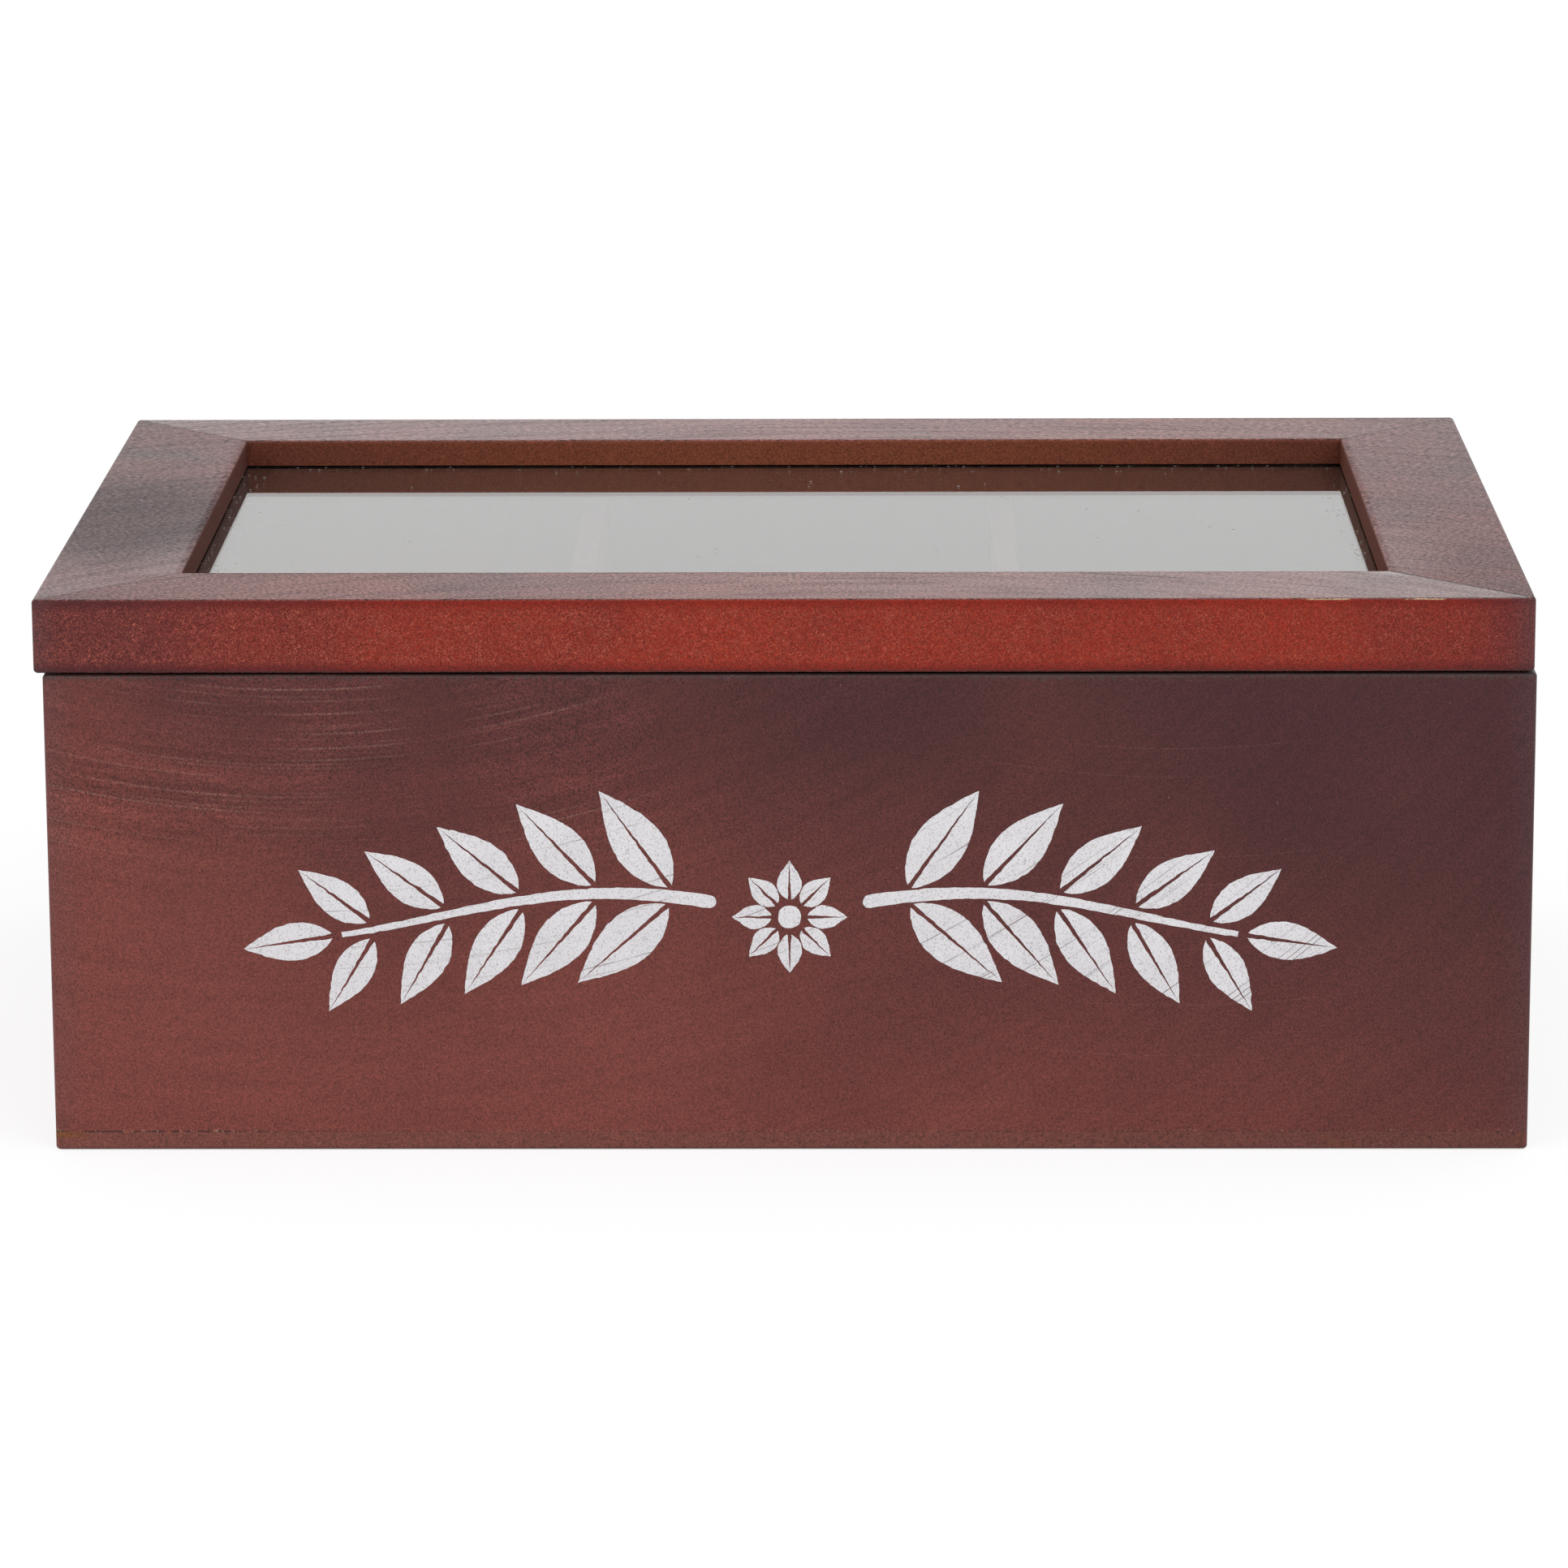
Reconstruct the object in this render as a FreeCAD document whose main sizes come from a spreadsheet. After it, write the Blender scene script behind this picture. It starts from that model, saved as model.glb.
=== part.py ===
import FreeCAD, Part
import os
from types import SimpleNamespace

import Sketcher
from FreeCAD import Placement, Rotation, Vector

# A wooden compartment box with a hinged, glazed lid, modelled piece by piece with the lid closed.
# Lengths are millimetres. +X is the right of the box, +Y its rear and +Z up.
# The origin is the middle of the underside of the box.

os.makedirs("parts", exist_ok=True)
doc = FreeCAD.newDocument("CompartmentBox")

# Driving dimensions
SIZES = {
    # Box
    "box_width": 239.0,
    "box_depth": 162.0,
    "wall_height": 76.0,
    "wall_thickness": 12.0,
    "base_thickness": 3.0,
    "corner_round": 0.9,
    "edge_round": 0.6,
    # Dividers
    "divider_thickness": 4.0,
    "divider_drop": 2.0,
    "housing_depth": 2.0,
    "housing_play": 0.1,
    "divider_edge_round": 0.4,
    # Lid
    "lid_overhang": 0.5,
    "lid_thickness": 12.0,
    "lid_gap": 0.3,
    "lid_shift": 0.9,
    "frame_width": 22.0,
    "upper_lip": 4.5,
    "groove_depth": 5.0,
    "glass_thickness": 2.0,
    "glass_play": 0.3,
    "glass_edge_gap": 1.0,
    "glass_arris": 0.3,
    # Hinges
    "hinge_spacing": 140.0,
    "hinge_length": 25.0,
    "leaf_reach": 9.5,
    "leaf_thickness": 1.0,
    "leaf_play": 0.1,
    "barrel_diameter": 4.2,
    "barrel_standoff": 0.2,
    "knuckle_gap": 0.3,
    "open_angle": 110.0,
    "stop_clearance": 0.05,
    "pin_diameter": 2.0,
    "pin_play": 0.05,
    # Hinge screws
    "screw_spacing": 14.0,
    "screw_diameter": 2.0,
    "screw_length": 8.0,
    "screw_play": 0.05,
    "slot_width": 0.5,
    "slot_depth": 0.5,
    # Base staples
    "staple_inset": 30.0,
    "staple_crown": 6.0,
    "staple_leg": 14.0,
    "staple_wire_width": 1.2,
    "staple_wire_height": 0.7,
    "staple_sink": 0.2,
    "staple_play": 0.05,
}
LONG_WALL_STAPLES = 4
SHORT_WALL_STAPLES = 3
COLUMNS = 3

# How near two coordinates are to count as the same place, when edges are picked
TINY = 1e-4

sheet = doc.addObject("Spreadsheet::Sheet", "Sizes")
for row, (alias, number) in enumerate(SIZES.items(), 1):
    sheet.set(f"A{row}", alias)
    sheet.set(f"B{row}", str(number))
    sheet.setAlias(f"B{row}", alias)
doc.recompute()


class Size:
    """A size worked out from the sheet: an expression that objects can be bound to, and its value."""

    def __init__(self, text):
        self.text = text

    @property
    def value(self):
        return float(sheet.evalExpression(self.text))

    def joined(self, sign, other, swapped=False):
        other_text = other.text if isinstance(other, Size) else str(other)
        first, second = (other_text, self.text) if swapped else (self.text, other_text)
        return Size(f"({first} {sign} {second})")

    def __add__(self, other):
        return self.joined("+", other)

    def __radd__(self, other):
        return self.joined("+", other, swapped=True)

    def __sub__(self, other):
        return self.joined("-", other)

    def __rsub__(self, other):
        return self.joined("-", other, swapped=True)

    def __mul__(self, other):
        return self.joined("*", other)

    def __rmul__(self, other):
        return self.joined("*", other, swapped=True)

    def __truediv__(self, other):
        return self.joined("/", other)

    def __neg__(self):
        return Size(f"(0 - {self.text})")


def sine(angle):
    return Size(f"sin({angle.text})")


def cosine(angle):
    return Size(f"cos({angle.text})")


ZERO = Size("0")
s = SimpleNamespace(**{alias: Size(f"Sizes.{alias}") for alias in SIZES})

# Sizes that follow from the driving ones
s.lid_width = s.box_width + 2 * s.lid_overhang
s.lid_depth = s.box_depth
s.lid_bottom = s.base_thickness + s.wall_height + s.lid_gap
s.inner_width = s.box_width - 2 * s.wall_thickness
s.inner_depth = s.box_depth - 2 * s.wall_thickness
s.column_pitch = (s.inner_width + s.divider_thickness) / COLUMNS
s.housing_width = s.divider_thickness + 2 * s.housing_play
s.divider_height = s.wall_height - s.divider_drop
s.divider_end = s.housing_depth - s.housing_play
s.groove_height = s.glass_thickness + s.glass_play
s.lower_lip = s.lid_thickness - s.upper_lip - s.groove_height
s.glass_inset = s.frame_width - s.groove_depth + s.glass_edge_gap
s.barrel_radius = s.barrel_diameter / 2
s.axis_offset = s.barrel_radius + s.barrel_standoff
s.axis_height = s.lid_bottom - s.lid_gap / 2
s.middle_knuckle = s.hinge_length / 3
s.screw_inset = s.leaf_reach / 2
s.screw_head_diameter = s.screw_diameter + 2 * s.leaf_thickness


# Tools for drawing and for features

def new_body(label):
    return doc.addObject("PartDesign::Body", label)


def place(piece, x, y, z, turn=Rotation()):
    """Turn a piece and bind the place of its local origin to three sizes."""
    piece.Placement = Placement(Vector(), turn)
    for axis, size in zip("xyz", (x, y, z)):
        piece.setExpression(f"Placement.Base.{axis}", size.text)


def sketch_on(body, plane, name, offset=None):
    """Start a sketch on one of the body's own planes, raised along the plane's normal by a size."""
    sketch = body.newObject("Sketcher::SketchObject", name)
    planes = {feature.Role: feature for feature in body.Origin.OriginFeatures}
    sketch.AttachmentSupport = (planes[plane], [""])
    sketch.MapMode = "FlatFace"
    if offset is not None:
        sketch.setExpression("AttachmentOffset.Base.z", offset.text)
    return sketch


def fix_point(sketch, geometry, point, x, y):
    """Hold a point of a sketch at two sizes from the sketch's origin."""
    for kind, size in (("DistanceX", x), ("DistanceY", y)):
        index = sketch.addConstraint(Sketcher.Constraint(kind, -1, 1, geometry, point, size.value))
        sketch.setExpression(f"Constraints[{index}]", size.text)


def draw_polygon(sketch, corners):
    """Draw a closed polygon through corners that are pairs of sizes."""
    points = [Vector(x.value, y.value, 0) for x, y in corners]
    lines = [sketch.addGeometry(Part.LineSegment(start, end))
             for start, end in zip(points, points[1:] + points[:1])]
    for line, following in zip(lines, lines[1:] + lines[:1]):
        sketch.addConstraint(Sketcher.Constraint("Coincident", line, 2, following, 1))
    for line, (x, y) in zip(lines, corners):
        fix_point(sketch, line, 1, x, y)


def draw_rectangle(sketch, x_low, x_high, y_low, y_high):
    draw_polygon(sketch, [(x_low, y_low), (x_high, y_low), (x_high, y_high), (x_low, y_high)])


def draw_circle(sketch, x, y, diameter):
    centre = Vector(x.value, y.value, 0)
    circle = sketch.addGeometry(Part.Circle(centre, Vector(0, 0, 1), diameter.value / 2))
    fix_point(sketch, circle, 3, x, y)
    index = sketch.addConstraint(Sketcher.Constraint("Diameter", circle, diameter.value))
    sketch.setExpression(f"Constraints[{index}]", diameter.text)


def draw_mitred_outline(sketch, length, width, corner_round):
    """Draw a board seen from above: outer edge along X, ends mitred, outer corners rounded."""
    half_turn = corner_round * (1 - 0.5 ** 0.5)
    corners = [
        (corner_round, ZERO),
        (length - corner_round, ZERO),
        (length - half_turn, half_turn),
        (length - width, width),
        (width, width),
        (half_turn, half_turn),
    ]
    points = [Vector(x.value, y.value, 0) for x, y in corners]
    outer, right_mitre, inner, left_mitre = [
        sketch.addGeometry(Part.LineSegment(points[start], points[end]))
        for start, end in ((0, 1), (2, 3), (3, 4), (4, 5))]
    radius = corner_round.value
    arcs = []
    for x, first_degree in ((length - corner_round, -90), (corner_round, 225)):
        circle = Part.Circle(Vector(x.value, radius, 0), Vector(0, 0, 1), radius)
        start, end = (FreeCAD.Units.Quantity(f"{degree} deg").getValueAs("rad").Value
                      for degree in (first_degree, first_degree + 45))
        arcs.append(sketch.addGeometry(Part.ArcOfCircle(circle, start, end)))
    right_arc, left_arc = arcs
    for first, second in ((outer, right_arc), (right_arc, right_mitre), (right_mitre, inner),
                          (inner, left_mitre), (left_mitre, left_arc), (left_arc, outer)):
        sketch.addConstraint(Sketcher.Constraint("Coincident", first, 2, second, 1))
    for line, end, (x, y) in ((outer, 1, corners[0]), (outer, 2, corners[1]), (right_mitre, 1, corners[2]),
                              (right_mitre, 2, corners[3]), (inner, 2, corners[4]), (left_mitre, 2, corners[5])):
        fix_point(sketch, line, end, x, y)
    for arc in arcs:
        index = sketch.addConstraint(Sketcher.Constraint("Radius", arc, radius))
        sketch.setExpression(f"Constraints[{index}]", corner_round.text)


def pad(body, sketch, length, symmetric=False):
    feature = body.newObject("PartDesign::Pad", "pad")
    feature.Profile = sketch
    feature.setExpression("Length", length.text)
    if symmetric:
        feature.SideType = "Symmetric"
    return feature


def pocket(body, sketch, depth=None, forward=False, symmetric=False):
    """Cut a sketch out of a body, right through unless a depth is given.

    A forward cut runs along the sketch's normal, and any other runs against it.
    """
    feature = body.newObject("PartDesign::Pocket", "pocket")
    feature.Profile = sketch
    feature.Reversed = forward
    if symmetric:
        feature.SideType = "Symmetric"
    if depth is None:
        feature.Type = "ThroughAll"
    else:
        feature.setExpression("Length", depth.text)
    return feature


def revolve(body, sketch, axis):
    feature = body.newObject("PartDesign::Revolution", "revolution")
    feature.Profile = sketch
    feature.ReferenceAxis = (sketch, [axis])
    feature.Angle = 360
    return feature


def dress_edges(body, kind, property_name, size, is_wanted):
    """Round or chamfer the edges whose bounding boxes are wanted."""
    doc.recompute()
    base = body.Tip
    names = [f"Edge{number}" for number, edge in enumerate(base.Shape.Edges, 1) if is_wanted(edge.BoundBox)]
    feature = body.newObject(kind, "edge_dressing")
    feature.Base = (base, names)
    feature.setExpression(property_name, size.text)


def round_edges(body, radius, is_wanted):
    dress_edges(body, "PartDesign::Fillet", "Radius", radius, is_wanted)


def chamfer_edges(body, leg, is_wanted):
    dress_edges(body, "PartDesign::Chamfer", "Size", leg, is_wanted)


def lies_level(box, height):
    """Say whether an edge's bounding box lies flat at a height."""
    return abs(box.ZMin - height.value) < TINY and abs(box.ZMax - height.value) < TINY


def even_places(first, last, count):
    """Give evenly spread sizes from first to last."""
    return [first + (last - first) * step / (count - 1) for step in range(count)]


def grouped(label, pieces):
    """Gather like pieces into one sub-part of separate solids."""
    group = doc.addObject("Part::Compound", label)
    group.Links = pieces
    return group


# Boards with mitred ends, for the box walls and for the lid frame

SIDES = ("front", "rear", "left", "right")


def mitred_board(label, length, width, height, rounds_both_faces):
    """Make a board that lies along X with its outer face on the XZ plane, its outer edges rounded."""
    body = new_body(label)
    sketch = sketch_on(body, "XY_Plane", "board_outline")
    draw_mitred_outline(sketch, length, width, s.corner_round)
    pad(body, sketch, height)
    rounded_levels = (ZERO, height) if rounds_both_faces else (height,)
    round_edges(body, s.edge_round, lambda box: box.YMax < s.corner_round.value
                and any(lies_level(box, level) for level in rounded_levels))
    return body


def place_round_the_box(board, side, width, depth, middle_x, z):
    """Put a mitred board on its side of a rectangle."""
    turn = {"front": 0, "right": 90, "rear": 180, "left": 270}[side]
    x = middle_x - width / 2 if side in ("front", "left") else middle_x + width / 2
    y = -depth / 2 if side in ("front", "right") else depth / 2
    place(board, x, y, z, Rotation(Vector(0, 0, 1), turn))


def wall_length(side):
    return s.box_width if side in ("front", "rear") else s.box_depth


def wall_staples(side):
    """Give where the staples stand along a wall."""
    count = LONG_WALL_STAPLES if side in ("front", "rear") else SHORT_WALL_STAPLES
    return even_places(s.staple_inset, wall_length(side) - s.staple_inset, count)


def draw_staple_legs(sketch, x, y, along_x):
    """Draw the slots for the two legs of a staple whose crown runs along X or along Y."""
    leg_middle = s.staple_crown / 2 - s.staple_wire_height / 2
    half_height = s.staple_wire_height / 2 + s.staple_play
    half_width = s.staple_wire_width / 2 + s.staple_play
    for side in (-1, 1):
        along = side * leg_middle
        if along_x:
            draw_rectangle(sketch, x + along - half_height, x + along + half_height, y - half_width, y + half_width)
        else:
            draw_rectangle(sketch, x - half_width, x + half_width, y + along - half_height, y + along + half_height)


def column_places():
    """Give where the cross dividers stand, measured from the left end of the box."""
    first = s.wall_thickness + s.column_pitch - s.divider_thickness / 2
    return [first + s.column_pitch * step for step in range(COLUMNS - 1)]


# Hinge seats: a mortise for each leaf and a pilot hole for each of its screws

def hinge_places(board_length, middle):
    """Give where the hinges stand along a board, whose middle may be off the middle of the hinges."""
    return [board_length / 2 + middle + side * s.hinge_spacing / 2 for side in (-1, 1)]


def screw_places(hinge_middle):
    return [hinge_middle + side * s.screw_spacing / 2 for side in (-1, 1)]


def cut_hinge_seats(body, hinge_middles, mortise_floor, downward):
    """Cut the seats into the outer edge of a board; a downward hole runs from the floor against Z."""
    mortises = sketch_on(body, "XY_Plane", "mortises", mortise_floor)
    half_length = s.hinge_length / 2 + s.leaf_play
    for middle in hinge_middles:
        draw_rectangle(mortises, middle - half_length, middle + half_length,
                       -s.leaf_reach, s.leaf_reach + s.leaf_play)
    pocket(body, mortises, forward=downward)
    pilots = sketch_on(body, "XY_Plane", "pilot_holes", mortise_floor)
    for middle in hinge_middles:
        for x in screw_places(middle):
            draw_circle(pilots, x, s.screw_inset, s.screw_diameter + 2 * s.screw_play)
    pocket(body, pilots, s.screw_length, forward=not downward)


# Box walls

def make_wall(side):
    length = wall_length(side)
    wall = mitred_board(f"{side}_wall", length, s.wall_thickness, s.wall_height, rounds_both_faces=False)
    housings = sketch_on(wall, "XY_Plane", "divider_housings")
    middles = column_places() if side in ("front", "rear") else [length / 2]
    for middle in middles:
        draw_rectangle(housings, middle - s.housing_width / 2, middle + s.housing_width / 2,
                       s.wall_thickness - s.housing_depth, s.wall_thickness + s.housing_depth)
    pocket(wall, housings, forward=True)
    leg_slots = sketch_on(wall, "XY_Plane", "staple_leg_slots")
    for x in wall_staples(side):
        draw_staple_legs(leg_slots, x, s.wall_thickness / 2, along_x=True)
    pocket(wall, leg_slots, s.staple_leg, forward=True)
    if side == "rear":
        cut_hinge_seats(wall, hinge_places(length, ZERO), s.wall_height - s.leaf_thickness, downward=True)
    place_round_the_box(wall, side, s.box_width, s.box_depth, ZERO, s.base_thickness)
    return wall


# Base board and the staples that hold it

def staple_places():
    """Give the place of each staple from the front left corner of the box, and whether it lies along X."""
    middle = s.wall_thickness / 2
    front_row = [(x, middle, True) for x in wall_staples("front")]
    rear_row = [(x, s.box_depth - middle, True) for x in wall_staples("rear")]
    left_row = [(middle, y, False) for y in wall_staples("left")]
    right_row = [(s.box_width - middle, y, False) for y in wall_staples("right")]
    return front_row + rear_row + left_row + right_row


def make_base():
    base = new_body("base_panel")
    sketch = sketch_on(base, "XY_Plane", "base_outline")
    draw_rectangle(sketch, ZERO, s.box_width, ZERO, s.box_depth)
    pad(base, sketch, s.base_thickness)
    round_edges(base, s.corner_round, lambda box: box.ZLength > TINY)
    round_edges(base, s.edge_round, lambda box: lies_level(box, ZERO))
    crown_slots = sketch_on(base, "XY_Plane", "staple_crown_slots")
    leg_slots = sketch_on(base, "XY_Plane", "staple_leg_slots")
    long_half = s.staple_crown / 2 + s.staple_play
    short_half = s.staple_wire_width / 2 + s.staple_play
    for x, y, along_x in staple_places():
        x_half, y_half = (long_half, short_half) if along_x else (short_half, long_half)
        draw_rectangle(crown_slots, x - x_half, x + x_half, y - y_half, y + y_half)
        draw_staple_legs(leg_slots, x, y, along_x)
    pocket(base, leg_slots, forward=True)
    pocket(base, crown_slots, s.staple_sink + s.staple_wire_height, forward=True)
    place(base, -s.box_width / 2, -s.box_depth / 2, ZERO)
    return base


def make_staple(x, y, along_x):
    """Make one staple, with its crown at the bottom and its legs up."""
    staple = new_body("staple")
    sketch = sketch_on(staple, "XZ_Plane", "staple_profile")
    outer = s.staple_crown / 2
    inner = outer - s.staple_wire_height
    draw_polygon(sketch, [
        (-outer, ZERO),
        (outer, ZERO),
        (outer, s.staple_leg),
        (inner, s.staple_leg),
        (inner, s.staple_wire_height),
        (-inner, s.staple_wire_height),
        (-inner, s.staple_leg),
        (-outer, s.staple_leg),
    ])
    pad(staple, sketch, s.staple_wire_width, symmetric=True)
    turn = Rotation(Vector(0, 0, 1), 0 if along_x else 90)
    place(staple, x - s.box_width / 2, y - s.box_depth / 2, s.staple_sink, turn)
    return staple


# Dividers, half-lapped where they cross

def make_divider(label, length, slot_middles, slots_open_up):
    """Make a divider that stands along X with a half-height slot at each crossing."""
    divider = new_body(label)
    sketch = sketch_on(divider, "XZ_Plane", "divider_outline")
    half_slot = s.divider_thickness / 2 + s.housing_play
    slotted, plain = (s.divider_height, ZERO) if slots_open_up else (ZERO, s.divider_height)
    corners = [(ZERO, plain), (ZERO, slotted)]
    for middle in slot_middles:
        corners += [
            (middle - half_slot, slotted),
            (middle - half_slot, s.divider_height / 2),
            (middle + half_slot, s.divider_height / 2),
            (middle + half_slot, slotted),
        ]
    corners += [(length, slotted), (length, plain)]
    draw_polygon(sketch, corners)
    pad(divider, sketch, s.divider_thickness, symmetric=True)
    round_edges(divider, s.divider_edge_round,
                lambda box: lies_level(box, s.divider_height) and box.YLength < TINY)
    return divider


def make_long_divider():
    start = s.wall_thickness - s.divider_end
    crossings = [place_along - start for place_along in column_places()]
    divider = make_divider("long_divider", s.box_width - 2 * start, crossings, slots_open_up=True)
    place(divider, start - s.box_width / 2, ZERO, s.base_thickness)
    return divider


def make_cross_divider(label, x):
    length = s.inner_depth + 2 * s.divider_end
    divider = make_divider(label, length, [length / 2], slots_open_up=False)
    place(divider, x - s.box_width / 2, -length / 2, s.base_thickness, Rotation(Vector(0, 0, 1), 90))
    return divider


# Lid frame and its pane

def make_frame_member(label, side):
    length = s.lid_width if side in ("front", "rear") else s.lid_depth
    member = mitred_board(label, length, s.frame_width, s.lid_thickness, rounds_both_faces=True)
    round_edges(member, s.edge_round, lambda box: box.YMin > s.frame_width.value - TINY
                and (lies_level(box, ZERO) or lies_level(box, s.lid_thickness)))
    groove = sketch_on(member, "YZ_Plane", "pane_groove")
    draw_rectangle(groove, s.frame_width - s.groove_depth, s.frame_width + s.groove_depth,
                   s.lower_lip, s.lower_lip + s.groove_height)
    pocket(member, groove, forward=True)
    if side == "rear":
        cut_hinge_seats(member, hinge_places(length, -s.lid_shift), s.leaf_thickness, downward=False)
    place_round_the_box(member, side, s.lid_width, s.lid_depth, -s.lid_shift, s.lid_bottom)
    return member


def make_pane():
    pane = new_body("glass_pane")
    width = s.lid_width - 2 * s.glass_inset
    depth = s.lid_depth - 2 * s.glass_inset
    sketch = sketch_on(pane, "XY_Plane", "pane_outline")
    draw_rectangle(sketch, ZERO, width, ZERO, depth)
    pad(pane, sketch, s.glass_thickness)
    chamfer_edges(pane, s.glass_arris, lambda box: box.ZLength < TINY)
    place(pane, -width / 2 - s.lid_shift, -depth / 2, s.lid_bottom + s.lower_lip)
    return pane


# Hinges, each drawn with its pin along X through the local origin and its leaves to the front

def make_leaf(label, on_lid):
    """Make a leaf with its share of the barrel: the lid leaf has the middle knuckle."""
    leaf = new_body(label)
    side = 1 if on_lid else -1
    inner_face = s.lid_gap / 2 * side
    outer_face = (s.lid_gap / 2 + s.leaf_thickness) * side
    plate = sketch_on(leaf, "YZ_Plane", "plate_profile")
    draw_rectangle(plate, -(s.axis_offset + s.leaf_reach), ZERO, inner_face, outer_face)
    pad(leaf, plate, s.hinge_length, symmetric=True)
    barrel = sketch_on(leaf, "YZ_Plane", "barrel_profile")
    draw_circle(barrel, ZERO, ZERO, s.barrel_diameter)
    pad(leaf, barrel, s.hinge_length, symmetric=True)
    cut_knuckle_gaps(leaf, on_lid)
    if on_lid:
        add_stop_tail(leaf)
    bore = sketch_on(leaf, "YZ_Plane", "pin_bore")
    draw_circle(bore, ZERO, ZERO, s.pin_diameter + 2 * s.pin_play)
    pocket(leaf, bore, symmetric=True)
    cut_screw_holes(leaf, inner_face, outer_face)
    return leaf


def cut_knuckle_gaps(leaf, on_lid):
    """Take away the barrel where the other leaf has its knuckles, back to the plane of the rear faces."""
    gaps = sketch_on(leaf, "XY_Plane", "knuckle_gaps")
    if on_lid:
        knuckle_end = s.middle_knuckle / 2 - s.knuckle_gap / 2
        spans = [(knuckle_end, s.hinge_length), (-s.hinge_length, -knuckle_end)]
    else:
        gap_end = s.middle_knuckle / 2 + s.knuckle_gap / 2
        spans = [(-gap_end, gap_end)]
    for low, high in spans:
        draw_rectangle(gaps, low, high, -s.axis_offset, s.axis_offset)
    pocket(leaf, gaps, symmetric=True)


def add_stop_tail(leaf):
    """Add the tail behind the middle knuckle, long enough to meet the rear wall at the open angle."""
    thickness_share = s.leaf_thickness / 2 * sine(s.open_angle)
    reach = (s.axis_offset - s.stop_clearance - thickness_share) / -cosine(s.open_angle)
    tail = sketch_on(leaf, "YZ_Plane", "tail_profile")
    draw_rectangle(tail, ZERO, reach, -s.leaf_thickness / 2, s.leaf_thickness / 2)
    pad(leaf, tail, s.middle_knuckle - s.knuckle_gap, symmetric=True)


def cut_screw_holes(leaf, inner_face, outer_face):
    """Countersink the leaf right through from its inner face."""
    y = -(s.axis_offset + s.screw_inset)
    for x in screw_places(ZERO):
        sink = leaf.newObject("PartDesign::SubtractiveCone", "countersink")
        sink.setExpression("Radius1", (s.screw_head_diameter / 2 + s.screw_play).text)
        sink.setExpression("Radius2", (s.screw_diameter / 2 + s.screw_play).text)
        sink.setExpression("Height", s.leaf_thickness.text)
        into_leaf = Vector(0, 0, outer_face.value - inner_face.value)
        sink.Placement = Placement(Vector(), Rotation(Vector(0, 0, 1), into_leaf))
        for axis, size in zip("xyz", (x, y, inner_face)):
            sink.setExpression(f"Placement.Base.{axis}", size.text)


def make_pin(label):
    """Make a pin of plain wire, cut off flush with the ends of the barrel."""
    pin = new_body(label)
    sketch = sketch_on(pin, "YZ_Plane", "pin_profile")
    draw_circle(sketch, ZERO, ZERO, s.pin_diameter)
    pad(pin, sketch, s.hinge_length, symmetric=True)
    return pin


def place_hinge_piece(piece, side):
    place(piece, side * s.hinge_spacing / 2, s.box_depth / 2 + s.axis_offset, s.axis_height)


# Hinge screws

def make_screw(x, on_lid):
    """Make a countersunk screw that points away from its head, into the wood behind the leaf."""
    screw = new_body("hinge_screw")
    sketch = sketch_on(screw, "XZ_Plane", "screw_profile")
    shank = s.screw_diameter / 2
    draw_polygon(sketch, [
        (ZERO, ZERO),
        (s.screw_head_diameter / 2, ZERO),
        (shank, -s.leaf_thickness),
        (shank, -s.screw_length),
        (ZERO, -s.screw_length),
    ])
    revolve(screw, sketch, "V_Axis")
    slot = sketch_on(screw, "XY_Plane", "driver_slot")
    draw_rectangle(slot, -s.screw_head_diameter, s.screw_head_diameter, -s.slot_width / 2, s.slot_width / 2)
    pocket(screw, slot, s.slot_depth)
    half_gap = s.lid_gap / 2
    z = s.axis_height + half_gap if on_lid else s.axis_height - half_gap
    turn = Rotation(Vector(1, 0, 0), 180 if on_lid else 0)
    place(screw, x, s.box_depth / 2 - s.screw_inset, z, turn)
    return screw


def make_screws(label, on_lid):
    places_along = [x for side in (-1, 1) for x in screw_places(side * s.hinge_spacing / 2)]
    return grouped(label, [make_screw(x, on_lid) for x in places_along])


# The assembly

def make_box():
    pieces = [make_wall(side) for side in SIDES]
    pieces.append(make_base())
    pieces.append(grouped("base_staples", [make_staple(*place_and_way) for place_and_way in staple_places()]))
    pieces.append(make_long_divider())
    for label, x in zip(("left_cross_divider", "right_cross_divider"), column_places()):
        pieces.append(make_cross_divider(label, x))
    return pieces


def make_lid():
    labels = {side: f"lid_{side}_rail" if side in ("front", "rear") else f"lid_{side}_stile" for side in SIDES}
    return [make_frame_member(labels[side], side) for side in SIDES] + [make_pane()]


def make_hinges():
    pieces = []
    for name, side in (("left", -1), ("right", 1)):
        box_leaf = make_leaf(f"{name}_hinge_box_leaf", on_lid=False)
        lid_leaf = make_leaf(f"{name}_hinge_lid_leaf", on_lid=True)
        pin = make_pin(f"{name}_hinge_pin")
        for piece in (box_leaf, lid_leaf, pin):
            place_hinge_piece(piece, side)
        pieces += [box_leaf, lid_leaf, pin]
    pieces.append(make_screws("box_leaf_screws", on_lid=False))
    pieces.append(make_screws("lid_leaf_screws", on_lid=True))
    return pieces


def check_and_write(pieces):
    """Recompute, refuse anything broken, then write each sub-part to its own file."""
    doc.recompute()
    broken = [item.Label for item in doc.Objects if {"Invalid", "Error"} & set(item.State)]
    broken += [piece.Label for piece in pieces if piece.Shape.isNull() or not piece.Shape.isValid()]
    if broken:
        raise RuntimeError(f"broken objects: {broken}")
    for piece in pieces:
        piece.Shape.exportStep(f"parts/{piece.Label}.step")


check_and_write(make_box() + make_lid() + make_hinges())
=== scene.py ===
"""Dresses a wooden compartment box with a glazed lid: stain, glass, brass, a painted sprig and a stage."""

import math

import bmesh
import bpy
from mathutils import Matrix, Vector
from mathutils.noise import noise as ripple_at


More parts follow.
